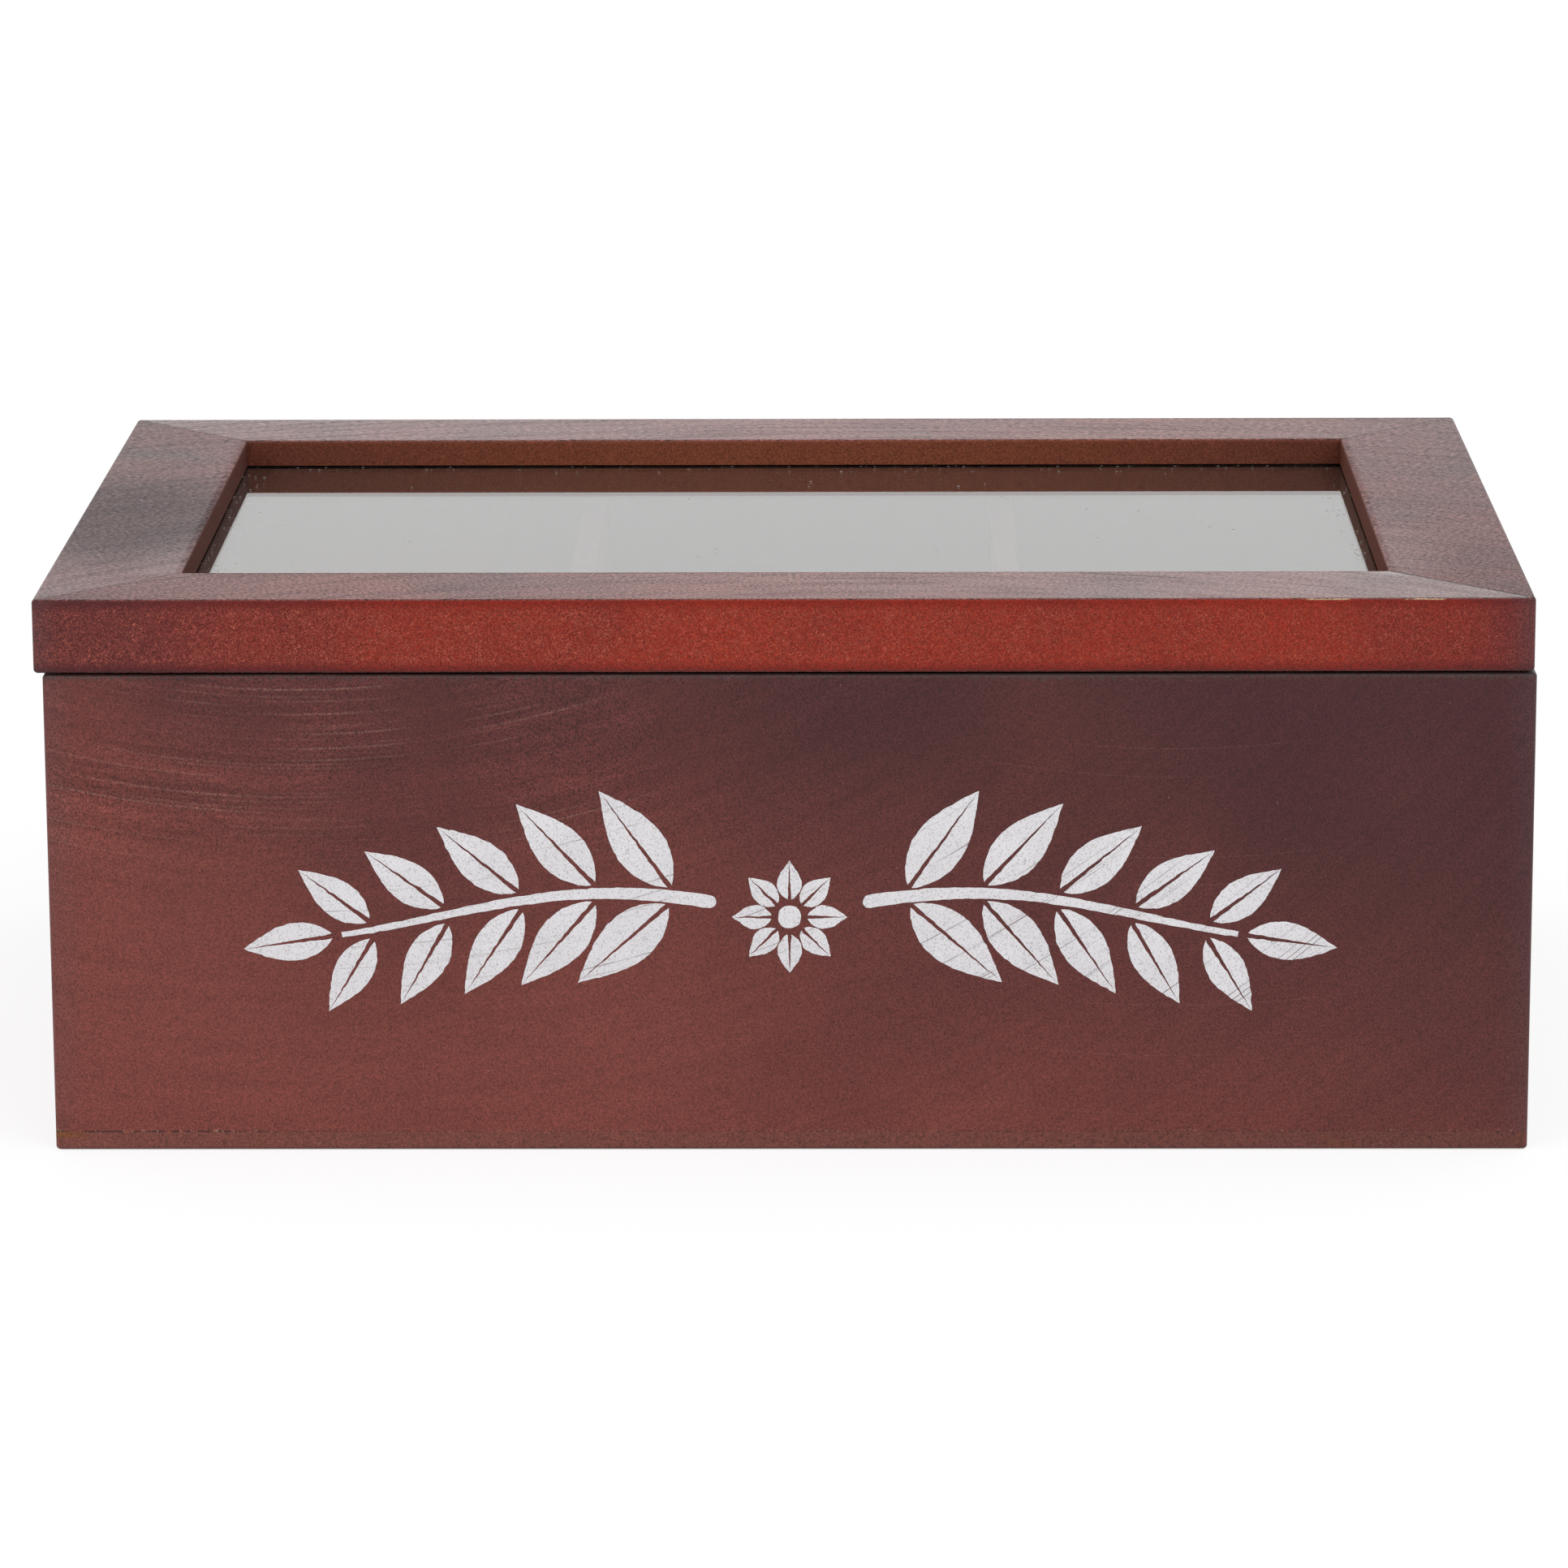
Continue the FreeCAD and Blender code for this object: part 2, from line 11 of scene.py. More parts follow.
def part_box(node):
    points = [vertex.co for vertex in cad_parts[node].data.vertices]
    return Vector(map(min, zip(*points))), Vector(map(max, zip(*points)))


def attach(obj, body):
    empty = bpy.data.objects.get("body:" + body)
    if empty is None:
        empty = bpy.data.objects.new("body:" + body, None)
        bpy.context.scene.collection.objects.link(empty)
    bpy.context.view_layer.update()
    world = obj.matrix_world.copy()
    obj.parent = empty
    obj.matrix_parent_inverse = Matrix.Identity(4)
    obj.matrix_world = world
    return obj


bl_info = {
    "name": "Wooden compartment box",
    "version": (1, 0, 0),
    "blender": (4, 5, 0),
    "location": "View3D > Sidebar > Box",
    "description": "Finishes, painted sprig and studio stage for a wooden box with six compartments",
    "category": "Object",
}

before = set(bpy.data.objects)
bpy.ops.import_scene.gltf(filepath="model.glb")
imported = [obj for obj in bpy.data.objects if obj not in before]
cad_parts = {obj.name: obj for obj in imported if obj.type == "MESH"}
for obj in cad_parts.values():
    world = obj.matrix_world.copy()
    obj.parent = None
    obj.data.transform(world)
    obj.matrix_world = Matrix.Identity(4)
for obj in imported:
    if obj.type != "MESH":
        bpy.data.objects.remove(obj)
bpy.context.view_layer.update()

MM = 0.001
WALLS = ("front_wall", "rear_wall", "left_wall", "right_wall")
LID_RAILS = ("lid_front_rail", "lid_rear_rail")
LID_STILES = ("lid_left_stile", "lid_right_stile")
DIVIDERS = ("long_divider", "left_cross_divider", "right_cross_divider")
HINGE_PIECES = (
    "left_hinge_box_leaf",
    "right_hinge_box_leaf",
    "left_hinge_lid_leaf",
    "right_hinge_lid_leaf",
    "left_hinge_pin",
    "right_hinge_pin",
)
SCREWS = ("box_leaf_screws", "lid_leaf_screws")

# Lengths from here on are in millimetres.
# Points that the cloth was swung about over the walls, along and up.
WALL_SWING = (-160.0, 228.0)
WALL_FAR_SWING = (-19.0, 226.0)
# Its marks fade between these distances to either side of the first point, and set in between these heights.
WIPED_REACH = (45.0, 110.0)
WIPED_HEIGHTS = (42.0, 62.0)
# How fast the walls' stain darkens to the right and upwards, for each millimetre.
DARKER_TO_RIGHT = 0.0025
DARKER_UPWARDS = 0.0076
# The joint over the base board closes up between these distances from the front left corner.
JOINT_CLOSES = (24.0, 44.0)
# Point that the cloth was swung about over the lid, along and towards the front.
LID_SWING = (9.0, 235.0)
# Where the lid's top was left darker: middle along and towards the rear, then reach both ways.
LID_DARK_PATCH = (-112.0, -14.0)
LID_DARK_REACH = (34.0, 58.0)
# The lid's top darkens from this far to the left and right of the middle to its ends.
LID_ENDS_START = 60.0
# Chips along the lid's front top edge: middle and length.
LID_CHIPS = ((86.0, 6.5), (101.4, 6.1))
# The lid's edges glow most here and fade over this reach.
GLOW_MIDDLE = 12.0
GLOW_REACH = 150.0
# The lid's edges are mauve this far from its left and right ends.
MAUVE_LEFT = 55.0
MAUVE_RIGHT = 14.0
# Size of the pressed fibres that speckle the boards, and of the curly ones on sawn edges.
FIBRE_SIZE = 0.28
CURL_SIZE = 0.38
# The cloth drew the grain of the lid's top out by this much along its path and across it.
WIPED_GRAIN = (3.0, 2.4)
# How far paint creeps under a stencil, and how many times in a millimetre it does so.
PAINT_CREEP = ((0.14, 0.9), (0.07, 3.5))
# Width of the camera's sensor.
SENSOR_WIDTH = 36.0


class Socket:
    """A node's output, on which Python's own operators add Math nodes."""

    def __init__(self, finish, output):
        self.finish = finish
        self.output = output

    def sibling(self, name):
        """Another output of the same node."""
        return Socket(self.finish, self.output.node.outputs[name])

    def __add__(self, other):
        return self.finish.math("ADD", self, other)

    def __radd__(self, other):
        return self.finish.math("ADD", other, self)

    def __sub__(self, other):
        return self.finish.math("SUBTRACT", self, other)

    def __rsub__(self, other):
        return self.finish.math("SUBTRACT", other, self)

    def __mul__(self, other):
        return self.finish.math("MULTIPLY", self, other)

    def __rmul__(self, other):
        return self.finish.math("MULTIPLY", other, self)

    def __truediv__(self, other):
        return self.finish.math("DIVIDE", self, other)

    def __rtruediv__(self, other):
        return self.finish.math("DIVIDE", other, self)

    def __neg__(self):
        return self.finish.math("SUBTRACT", 0, self)

    def __abs__(self):
        return self.finish.math("ABSOLUTE", self)

    def least(self, other):
        """The smaller of two values."""
        return self.finish.math("MINIMUM", self, other)

    def most(self, other):
        """The larger of two values."""
        return self.finish.math("MAXIMUM", self, other)


class Finish:
    """The shader of one material or of the world."""

    def __init__(self, owner):
        owner.use_nodes = True
        self.tree = owner.node_tree
        self.tree.nodes.clear()

    def add(self, kind, settings=None, values=None, output=0):
        """Adds a node: its settings first, then the values or links of its sockets."""
        node = self.tree.nodes.new(kind)
        for name, setting in (settings or {}).items():
            setattr(node, name, setting)
        for name, value in (values or {}).items():
            if isinstance(value, Socket):
                self.tree.links.new(value.output, node.inputs[name])
            else:
                node.inputs[name].default_value = value
        return Socket(self, node.outputs[output] if node.outputs else None)

    def math(self, operation, *values):
        """A Math node on some values."""
        return self.add("ShaderNodeMath", {"operation": operation}, dict(enumerate(values)))

    def mix(self, share, first, second):
        """A share of the second colour over the first."""
        return self.add("ShaderNodeMix", {"data_type": "RGBA"}, {0: share, 6: first, 7: second}, output=2)

    def ease(self, value, low, high):
        """0 below low, 1 above high and a smooth rise between."""
        settings = {"interpolation_type": "SMOOTHSTEP"}
        return self.add("ShaderNodeMapRange", settings, {"Value": value, "From Min": low, "From Max": high})

    def scaled(self, vector, share):
        """A vector or a colour times a value."""
        return self.add("ShaderNodeVectorMath", {"operation": "SCALE"}, {"Vector": vector, "Scale": share})

    def split(self, vector):
        """The three parts of a vector."""
        first = self.add("ShaderNodeSeparateXYZ", values={0: vector}, output="X")
        return first, first.sibling("Y"), first.sibling("Z")

    def join(self, x, y, z):
        """A vector of three values."""
        return self.add("ShaderNodeCombineXYZ", values={"X": x, "Y": y, "Z": z})

    def noise(self, place, size, detail=3.0, roughness=0.5, distortion=0.0):
        """Clouds about as large as size, from 0 to 1 with a middle of 0.5."""
        values = {
            "Vector": place,
            "Scale": 1 / size,
            "Detail": detail,
            "Roughness": roughness,
            "Distortion": distortion,
        }
        return self.add("ShaderNodeTexNoise", values=values)

    def bump(self, height, depth):
        """The normal of a surface whose height from 0 to 1 stands for a depth in millimetres."""
        return self.add("ShaderNodeBump", values={"Height": height, "Distance": depth * MM})

    def surface(self, **values):
        """A Principled shader, with its socket names written with underscores."""
        sockets = {name.replace("_", " "): value for name, value in values.items()}
        return self.add("ShaderNodeBsdfPrincipled", values=sockets)

    def end(self, shader, kind="ShaderNodeOutputMaterial"):
        """Joins the shader to the output."""
        self.add(kind, values={"Surface": shader})


class PieceFinish(Finish):
    """A material whose patterns are laid out in the frame's millimetres and move with the piece."""

    def __init__(self, name):
        self.material = bpy.data.materials.new(name)
        super().__init__(self.material)
        source = self.add("ShaderNodeTexCoord", output="Object")
        self.place = self.scaled(source, 1 / MM)
        self.x, self.y, self.z = self.split(self.place)
        normal = self.split(source.sibling("Normal"))
        self.normal_z = normal[2]
        self.facing_x = abs(normal[0])
        self.facing_z = abs(normal[2])


def rgba(colour):
    """A colour with full cover."""
    return (*colour, 1.0)


def block_of(*nodes):
    """Lowest and highest corners, in millimetres, of the block round some CAD nodes."""
    corners = [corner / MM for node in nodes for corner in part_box(node)]
    low = Vector([min(corner[axis] for corner in corners) for axis in range(3)])
    high = Vector([max(corner[axis] for corner in corners) for axis in range(3)])
    return low, high


def dress(nodes, material):
    """Gives a material to every slot of some CAD nodes."""
    for node in nodes:
        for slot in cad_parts[node].material_slots:
            slot.material = material


def edge_distance(finish, low, high):
    """How far a point on the surface of a block lies from the block's nearest edge."""
    gap_x = (finish.x - low.x).least(high.x - finish.x)
    gap_y = (finish.y - low.y).least(high.y - finish.y)
    gap_z = (finish.z - low.z).least(high.z - finish.z)
    return gap_x.least(gap_y).most(gap_x.most(gap_y).least(gap_z))


def swing_about(finish, along, across, pivot):
    """Radius and arc length about a pivot above, in a plane measured along and across."""
    offset_along = along - pivot[0]
    offset_across = pivot[1] - across
    radius = finish.math("SQRT", offset_along * offset_along + offset_across * offset_across)
    arc = finish.math("ARCTAN2", offset_along, offset_across) * pivot[1]
    return radius, arc


def swung_strokes(finish, swing, width, reach):
    """Soft streaks of a cloth swung about a pivot."""
    radius, arc = swing
    return finish.noise(finish.join(radius / width, arc / reach, 0), size=1, detail=5, roughness=0.75)


def swung_scratches(finish, swing, spacing, thickness, reach, spread):
    """Thin lines that grit in the cloth leaves, one by chance in each ring about the pivot."""
    radius, arc = swing
    ring = finish.math("FLOOR", radius / spacing)
    chance = finish.add("ShaderNodeTexWhiteNoise", {"noise_dimensions": "1D"}, {"W": ring}, output="Color")
    offset, middle, strength = finish.split(chance)
    margin = 0.2
    line_radius = (ring + margin + offset * (1 - 2 * margin)) * spacing
    line = 1 - finish.ease(abs(radius - line_radius), thickness / 4, thickness)
    from_middle = abs(arc - (middle - 0.5) * spread)
    return line * (1 - finish.ease(from_middle, reach * 0.4, reach)) * strength


def fine_grain(finish, place, strength):
    """How much lighter or darker the pressed fibres make each spot of a board, about 1."""
    speckle = finish.noise(place, size=FIBRE_SIZE, detail=3, roughness=0.8)
    return 1 + (speckle - 0.5) * strength


def felted_fibres(finish):
    """The short curly fibres of a sawn board edge, pale at 1."""
    curls = finish.noise(finish.place, size=CURL_SIZE, detail=1, distortion=1.5)
    strands = finish.ease(1 - abs(curls * 2 - 1), 0.84, 1)
    patches = finish.noise(finish.place, size=4, detail=2)
    return strands * finish.ease(patches, -0.2, 0.9)


def pale_specks(finish, size, rarity):
    """Sparse specks, fewer the nearer rarity comes to 1."""
    return finish.ease(finish.noise(finish.place, size, detail=1), rarity, rarity + 0.05)


def box_stain(finish, colours):
    """Stain on the outside of the box, darker towards the upper right, and its clouds."""
    low, high = block_of(*WALLS)
    middle = (low + high) / 2
    clouds = finish.noise(finish.place, size=46, detail=2.5, roughness=0.55)
    drift = (finish.x - middle.x) * DARKER_TO_RIGHT + (finish.z - middle.z) * DARKER_UPWARDS
    darkness = finish.ease(0.475 + drift + (clouds - 0.5) * 0.7, -0.1, 1.0)
    return finish.mix(darkness, rgba(colours.warm_stain), rgba(colours.dark_stain)), clouds


def wall_material(colours):
    """Stain wiped in arcs over the box walls."""
    finish = PieceFinish("wall_stain")
    low, high = block_of(*WALLS)
    along = finish.x + finish.y
    tone, clouds = box_stain(finish, colours)
    specks = pale_specks(finish, size=0.5, rarity=0.76)
    tone = finish.mix(specks * 0.4, tone, rgba(colours.bare_wood))
    tone = wall_edges(finish, colours, tone, low, high, clouds)
    tone = base_joint(finish, colours, tone, along, low)

    swing = swing_about(finish, along, finish.z, WALL_SWING)
    strokes = swung_strokes(finish, swing, width=3, reach=60)
    scratches, patches = wiped_arcs(finish, along, swing)
    tone = finish.mix(scratches * 0.28, tone, rgba(colours.scratch))
    lightness = 1 + (strokes - 0.45) * (0.5 + patches * 1.6)
    grain = fine_grain(finish, finish.place, strength=3.3 + patches * 1.6)
    gloss = 0.5 - strokes * 0.12 + grain * 0.03
    relief = finish.bump(grain * 0.5 + strokes * 0.5, depth=0.03)
    colour = finish.scaled(tone, grain * lightness)
    finish.end(finish.surface(Base_Color=colour, Roughness=gloss, IOR=1.33, Normal=relief))
    return finish.material


def wiped_arcs(finish, along, swing):
    """Where grit in the swung cloth has scratched the walls, and the patches that it was rubbed over."""
    beside = 1 - finish.ease(abs(along - WALL_SWING[0]), *WIPED_REACH)
    near = beside * finish.ease(finish.z, *WIPED_HEIGHTS)
    patches = finish.ease(finish.noise(finish.place, size=30, detail=2), 0.3, 0.55) * near
    scratches = swung_scratches(finish, swing, spacing=0.8, thickness=0.25, reach=36, spread=110) * patches
    far_swing = swing_about(finish, along, finish.z, WALL_FAR_SWING)
    far_scratches = swung_scratches(finish, far_swing, spacing=9, thickness=0.12, reach=34, spread=40) * 0.5
    dashes = finish.ease(finish.noise(finish.place, size=0.3, detail=3, roughness=0.7), 0.35, 0.6)
    return scratches.most(far_scratches) * dashes, patches


def wall_edges(finish, colours, tone, low, high, clouds):
    """The walls' tone with painted sheen along the upright edges, a rim of dust and painted shade under the
    lid, and dark sawn tops.
    """
    # A grey haze along the upright edges stands in for sheen on their rounded corners: painted sheen.
    upright_sheen_wander, upright_sheen_fades = 6, (-1, 6)
    past_ends = Vector((0, 0, high.z))
    edge = edge_distance(finish, low - past_ends, high + past_ends) + (clouds - 0.5) * upright_sheen_wander
    upright_sheen = 1 - finish.ease(edge, *upright_sheen_fades)
    tone = finish.mix(upright_sheen * 0.22, tone, rgba(colours.edge_sheen))
    # A grey band along the top of the walls, right under the lid: dust and painted shade.
    dust_and_shade_wander, dust_and_shade_fades = 3.5, (0.5, 1.5)
    fluff = finish.noise(finish.place, size=0.7, detail=3, roughness=0.75)
    from_top = high.z - finish.z + (fluff - 0.5) * dust_and_shade_wander + clouds
    rim = 1 - finish.ease(from_top, *dust_and_shade_fades)
    tone = finish.mix(rim * 0.7, tone, rgba(colours.dust_and_shade))
    sawn = finish.ease(finish.facing_z, 0.6, 0.9)
    return finish.mix(sawn * 0.5, tone, rgba(colours.burnish))


def base_joint(finish, colours, tone, along, low):
    """The walls' tone with the joint over the base board, open most near the front left corner."""
    gap_fades, crumbs_fade = (0.1, 0.42), (0.35, 0.65)
    front_left = low.x + low.y
    openness = 1 - finish.ease(along - front_left, *JOINT_CLOSES) * 0.65
    height = finish.z - low.z
    dots = finish.ease(finish.noise(finish.place, size=1.1, detail=3), 0.45, 0.53)
    gap = (1 - finish.ease(height, *gap_fades)) * dots
    tone = finish.mix(gap * openness * 0.9, tone, rgba(colours.burnish))
    crumbs = pale_specks(finish, size=0.5, rarity=0.62) * (1 - finish.ease(height, *crumbs_fade))
    return finish.mix(crumbs * openness * 0.5, tone, rgba(colours.bare_wood))


def edge_chips(finish, low, high):
    """Where the stain has chipped off the front top edge of the lid."""
    splinter_length, splinter_width = 1.6, 0.5
    place = finish.join(finish.x / splinter_length, finish.y / splinter_width, finish.z / splinter_width)
    splinters = finish.ease(finish.noise(place, size=1, detail=3), 0.34, 0.44)
    chip_fades, end_fade = (0.2, 0.36), 0.5
    from_edge = (finish.y - low.y).most(high.z - finish.z)
    chipped = (1 - finish.ease(from_edge, *chip_fades)) * splinters
    run = 0
    for middle, length in LID_CHIPS:
        from_middle = abs(finish.x - middle)
        run = run + (1 - finish.ease(from_middle, length / 2 - end_fade, length / 2 + end_fade))
    return chipped * run


def lid_material(name, colours, polish, polish_drift):
    """Stain on the lid frame: wiped over the top, redder and felted on the sawn edges, with painted shade
    round the window and painted sheen at its ends.
    """
    finish = PieceFinish(name)
    low, high = block_of(*LID_RAILS, *LID_STILES)
    top = finish.ease(finish.facing_z, 0.55, 0.85)
    fibres = felted_fibres(finish)
    swing = swing_about(finish, finish.x, -finish.y, LID_SWING)
    top_tone, top_sheen, streaks = lid_top(finish, colours, low, high, swing)
    inner_tone, inside = window_edges(finish, colours, fibres)
    edge_tone = finish.mix(inside, lid_edges(finish, colours, low, high, fibres), inner_tone)
    tone = finish.mix(top, edge_tone, top_tone)
    tone = finish.mix(edge_chips(finish, low, high), tone, rgba(colours.bare_wood))
    grain = lid_grain(finish, swing, top)

    worn = worn_polish(finish, polish, polish_drift)
    sheen = top * (top_sheen * worn + (grain - 1) * 0.4)
    gloss = 0.5 + inside * 0.3 + fibres * 0.08
    relief = finish.bump(streaks * top + fibres * (1 - top), depth=0.04)
    stained = finish.surface(
        Base_Color=finish.scaled(tone, grain),
        Roughness=gloss,
        IOR=1.3,
        Coat_Weight=sheen,
        Coat_Roughness=0.3,
        Coat_IOR=1.45,
        Normal=relief,
    )
    finish.end(stained)
    return finish.material


def worn_polish(finish, polish, polish_drift):
    """How far the lid's top is polished: it drifts along the lid, and more so towards the front."""
    drift_amid, drift_growth = 0.3, 0.01
    gain_to_rear = 0.0007
    drift = drift_amid - finish.y * drift_growth
    return polish + finish.x * drift * polish_drift + finish.y * gain_to_rear


def lid_grain(finish, swing, top):
    """Grain of the lid frame: drawn out by the cloth on its top and even on its edges."""
    radius, arc = swing
    drawn_out = finish.join(arc / WIPED_GRAIN[0], radius / WIPED_GRAIN[1], 0)
    wiped_grain = fine_grain(finish, drawn_out, strength=6.0)
    edge_grain = fine_grain(finish, finish.place, strength=3.3)
    return edge_grain + (wiped_grain - edge_grain) * top


def lid_top(finish, colours, low, high, swing):
    """Colour, share of polish and streaks of the lid frame's top, wiped in arcs from the front."""
    streaks = swung_strokes(finish, swing, width=3, reach=26)
    lines = swung_scratches(finish, swing, spacing=0.9, thickness=0.6, reach=18, spread=260)
    patch = lid_dark_patch(finish)
    clouds = finish.noise(finish.place, size=38, detail=3, roughness=0.6)
    ends = finish.ease(abs(finish.x), LID_ENDS_START, high.x)
    darkness = finish.ease(clouds, 0.36, 0.9).most(patch * 0.8) + ends * 0.4
    tone = finish.mix(darkness, rgba(colours.warm_stain), rgba(colours.dark_stain))
    dark_streaks = finish.ease(streaks, 0.42, 0.66) * (0.36 + patch * 0.3)
    dark_marks = dark_streaks.most(lines * 0.7).most(mitre_lines(finish, low, high))
    tone = finish.mix(dark_marks, tone, rgba(colours.burnish))
    sheen = (1 - dark_marks) * (1 - patch * 0.6) * (1 + hand_polish(finish) * 0.8)
    return tone, sheen, streaks


def lid_dark_patch(finish):
    """The oval at the left of the lid's top that was left darker, 1 in its middle."""
    offset_x = (finish.x - LID_DARK_PATCH[0]) / LID_DARK_REACH[0]
    offset_y = (finish.y - LID_DARK_PATCH[1]) / LID_DARK_REACH[1]
    distance = finish.math("SQRT", offset_x * offset_x + offset_y * offset_y)
    return 1 - finish.ease(distance, 0.2, 1)


def mitre_lines(finish, low, high):
    """The mitre joints of the lid frame, open most at the front right corner."""
    line_fades, corner_reach = (0.15, 0.6), (60, 140)
    middle = (low + high) / 2
    inset_x = high.x - middle.x - abs(finish.x - middle.x)
    inset_y = high.y - middle.y - abs(finish.y - middle.y)
    line = 1 - finish.ease(abs(inset_x - inset_y), *line_fades)
    front_right = finish.ease(finish.x - finish.y, *corner_reach)
    return line * (0.55 + front_right * 0.45)


def hand_polish(finish):
    """Where hands have polished the lid: beside the front half of the window and at the left corner."""
    overlap, strip_fades, half_fades, corner_reach = 6, (1, 15), (-50, 10), (130, 190)
    opening_low, opening_high = lid_opening()
    middle = (opening_low.x + opening_high.x) / 2
    beside = abs(finish.x - middle) - (opening_high.x - middle)
    strip = finish.ease(beside, -overlap, 0) * (1 - finish.ease(beside, *strip_fades))
    past_front_rail = finish.ease(finish.y, opening_low.y - overlap, opening_low.y)
    front_half = past_front_rail * (1 - finish.ease(finish.y, *half_fades))
    front_left = finish.ease(-finish.x - finish.y, *corner_reach)
    return (strip * front_half).most(front_left * 0.45)


def lid_edges(finish, colours, low, high, fibres):
    """Colour of the lid's outer edges: red, glowing towards the middle, with mauve ends under a painted
    sheen.
    """
    tone = finish.mix(edge_glow(finish), rgba(colours.edge_red), rgba(colours.edge_orange))
    from_left = finish.x - low.x
    from_right = high.x - finish.x
    right_end = 1 - finish.ease(from_right, 0, MAUVE_RIGHT)
    ends = (1 - finish.ease(from_left, 0, MAUVE_LEFT)).most(right_end * 0.8)
    tone = finish.mix(ends * 0.9, tone, rgba(colours.edge_mauve))

    felt_sets_in, felt_drift, haze_reach = (0.4, 2.2), 0.002, 5
    height = finish.z - low.z
    from_rim = height.least(high.z - finish.z)
    felt = 0.92 - finish.x * felt_drift - ends * 0.2
    raised = fibres * finish.ease(from_rim, *felt_sets_in) * felt
    tone = finish.mix(raised, tone, rgba(colours.edge_fibre))
    # A grey haze at the lid's rounded left and right ends: painted sheen.
    haze = 1 - finish.ease(from_left.least(from_right), 0, haze_reach)
    tone = finish.mix(haze * 0.3, tone, rgba(colours.edge_sheen))
    return lid_foot(finish, colours, tone, height)


def lid_foot(finish, colours, tone, height):
    """The lid edges' tone, mauve towards the foot and with a seam of dust and painted shade along it, over
    the gap to the box.
    """
    mauve_fades, seam_fades, seam_wander = (0.2, 2.4), (0.1, 0.7), 1.2
    foot = 1 - finish.ease(height, *mauve_fades)
    tone = finish.mix(foot * 0.35, tone, rgba(colours.edge_mauve))
    # A grey seam along the lid's foot, over the gap to the box: dust and painted shade.
    fluff = finish.noise(finish.place, size=0.8, detail=3, roughness=0.7)
    seam = 1 - finish.ease(height + (fluff - 0.5) * seam_wander, *seam_fades)
    return finish.mix(seam * 0.5, tone, rgba(colours.dust_and_shade))


def edge_glow(finish):
    """How orange the lid's edges are: most near the middle, in uneven patches."""
    across_lid = (finish.x - GLOW_MIDDLE) / GLOW_REACH
    warmth = finish.noise(finish.place, size=22, detail=2)
    return finish.ease(0.5 - across_lid * across_lid * 0.6 + warmth * 0.6, 0.3, 0.9)


def window_edges(finish, colours, fibres):
    """Colour of the edges round the lid's window, with painted shade towards their ends and on the side
    faces, and where they are.
    """
    edge_fades = (0.6, 1.6)
    opening_low, opening_high = lid_opening()
    middle = (opening_low + opening_high) / 2
    half = (opening_high - opening_low) / 2
    beside = (abs(finish.x - middle.x) - half.x).most(abs(finish.y - middle.y) - half.y)
    along = (finish.x - middle.x) / half.x
    # Painted shade: darker towards the ends of the front and rear edges and on the side faces, most on the
    # left, where the pale fibres are fewer too.
    dark = along * along * 0.7 + finish.facing_x * (0.4 - along * 0.5)
    tone = finish.mix(dark, rgba(colours.inner_brown), rgba(colours.inner_shade))
    tone = finish.mix(fibres * (0.32 - finish.facing_x * 0.2), tone, rgba(colours.edge_fibre))
    return tone, 1 - finish.ease(beside, *edge_fades)


def lid_opening():
    """Lowest and highest corners of the window in the lid frame."""
    left, right = block_of("lid_left_stile"), block_of("lid_right_stile")
    front, rear = block_of("lid_front_rail"), block_of("lid_rear_rail")
    low = Vector((left[1].x, front[1].y, front[0].z))
    high = Vector((right[0].x, rear[0].y, front[1].z))
    return low, high


def base_material(colours):
    """The base board: rough stained edges and floor, bare underneath with stain run under the rim."""
    finish = PieceFinish("base_board")
    low, high = block_of("base_panel")
    stain, clouds = box_stain(finish, colours)
    fibres = felted_fibres(finish)
    stained = worn_base_stain(finish, colours, stain, fibres, low)
    run_wander, run_fades = 9, (3, 6)
    rim = edge_distance(finish, low, high) + (clouds - 0.5) * run_wander
    under = finish.ease(-finish.normal_z, 0.6, 0.9)
    bare = finish.mix(fibres, rgba(colours.bare_wood), rgba(colours.inner_brown))
    tone = finish.mix(under * finish.ease(rim, *run_fades) * 0.75, stained, bare)
    colour = finish.scaled(tone, fine_grain(finish, finish.place, strength=3.0))
    gloss = 0.55 + fibres * 0.15
    relief = finish.bump(fibres, depth=0.05)
    finish.end(finish.surface(Base_Color=colour, Roughness=gloss, IOR=1.35, Normal=relief))
    return finish.material


def worn_base_stain(finish, colours, tone, fibres, low):
    """The base board's stain: rubbed at the left, pitted at the right, scuffed, and with painted shade along
    the foot.
    """
    rub_drift, pit_drift, foot_fades = 0.0008, 0.0012, (0.1, 0.8)
    rubbed = fibres * 0.6 + 0.25 - finish.x * rub_drift
    tone = finish.mix(rubbed, tone, rgba(colours.rubbed_stain))
    pits = finish.ease(finish.noise(finish.place, size=0.9, detail=3, roughness=0.7), 0.52, 0.66)
    tone = finish.mix(pits * (0.45 + finish.x * pit_drift), tone, rgba(colours.burnish))
    tone = finish.mix(base_scuffs(finish, low) * 0.85, tone, rgba(colours.ochre_scuff))
    # A grey band along the foot, where the board meets the floor: painted shade.
    foot = 1 - finish.ease(finish.z - low.z, *foot_fades)
    return finish.mix(foot * 0.3, tone, rgba(colours.dust_and_shade))


def base_scuffs(finish, low):
    """Where the base board is worn to ochre: its front left corner, and patches along its edges."""
    wander, corner_fades, worn_heights = 4, (3, 9), (1.7, 2.5)
    from_corner = (finish.x - low.x) + (finish.y - low.y)
    ragged_edge = finish.noise(finish.place, size=6, detail=3) * wander
    corner = 1 - finish.ease(from_corner + ragged_edge, *corner_fades)
    patches = finish.ease(finish.noise(finish.place, size=16, detail=4, roughness=0.75), 0.56, 0.7)
    return (corner * finish.ease(finish.z, *worn_heights)).most(patches * 0.5)


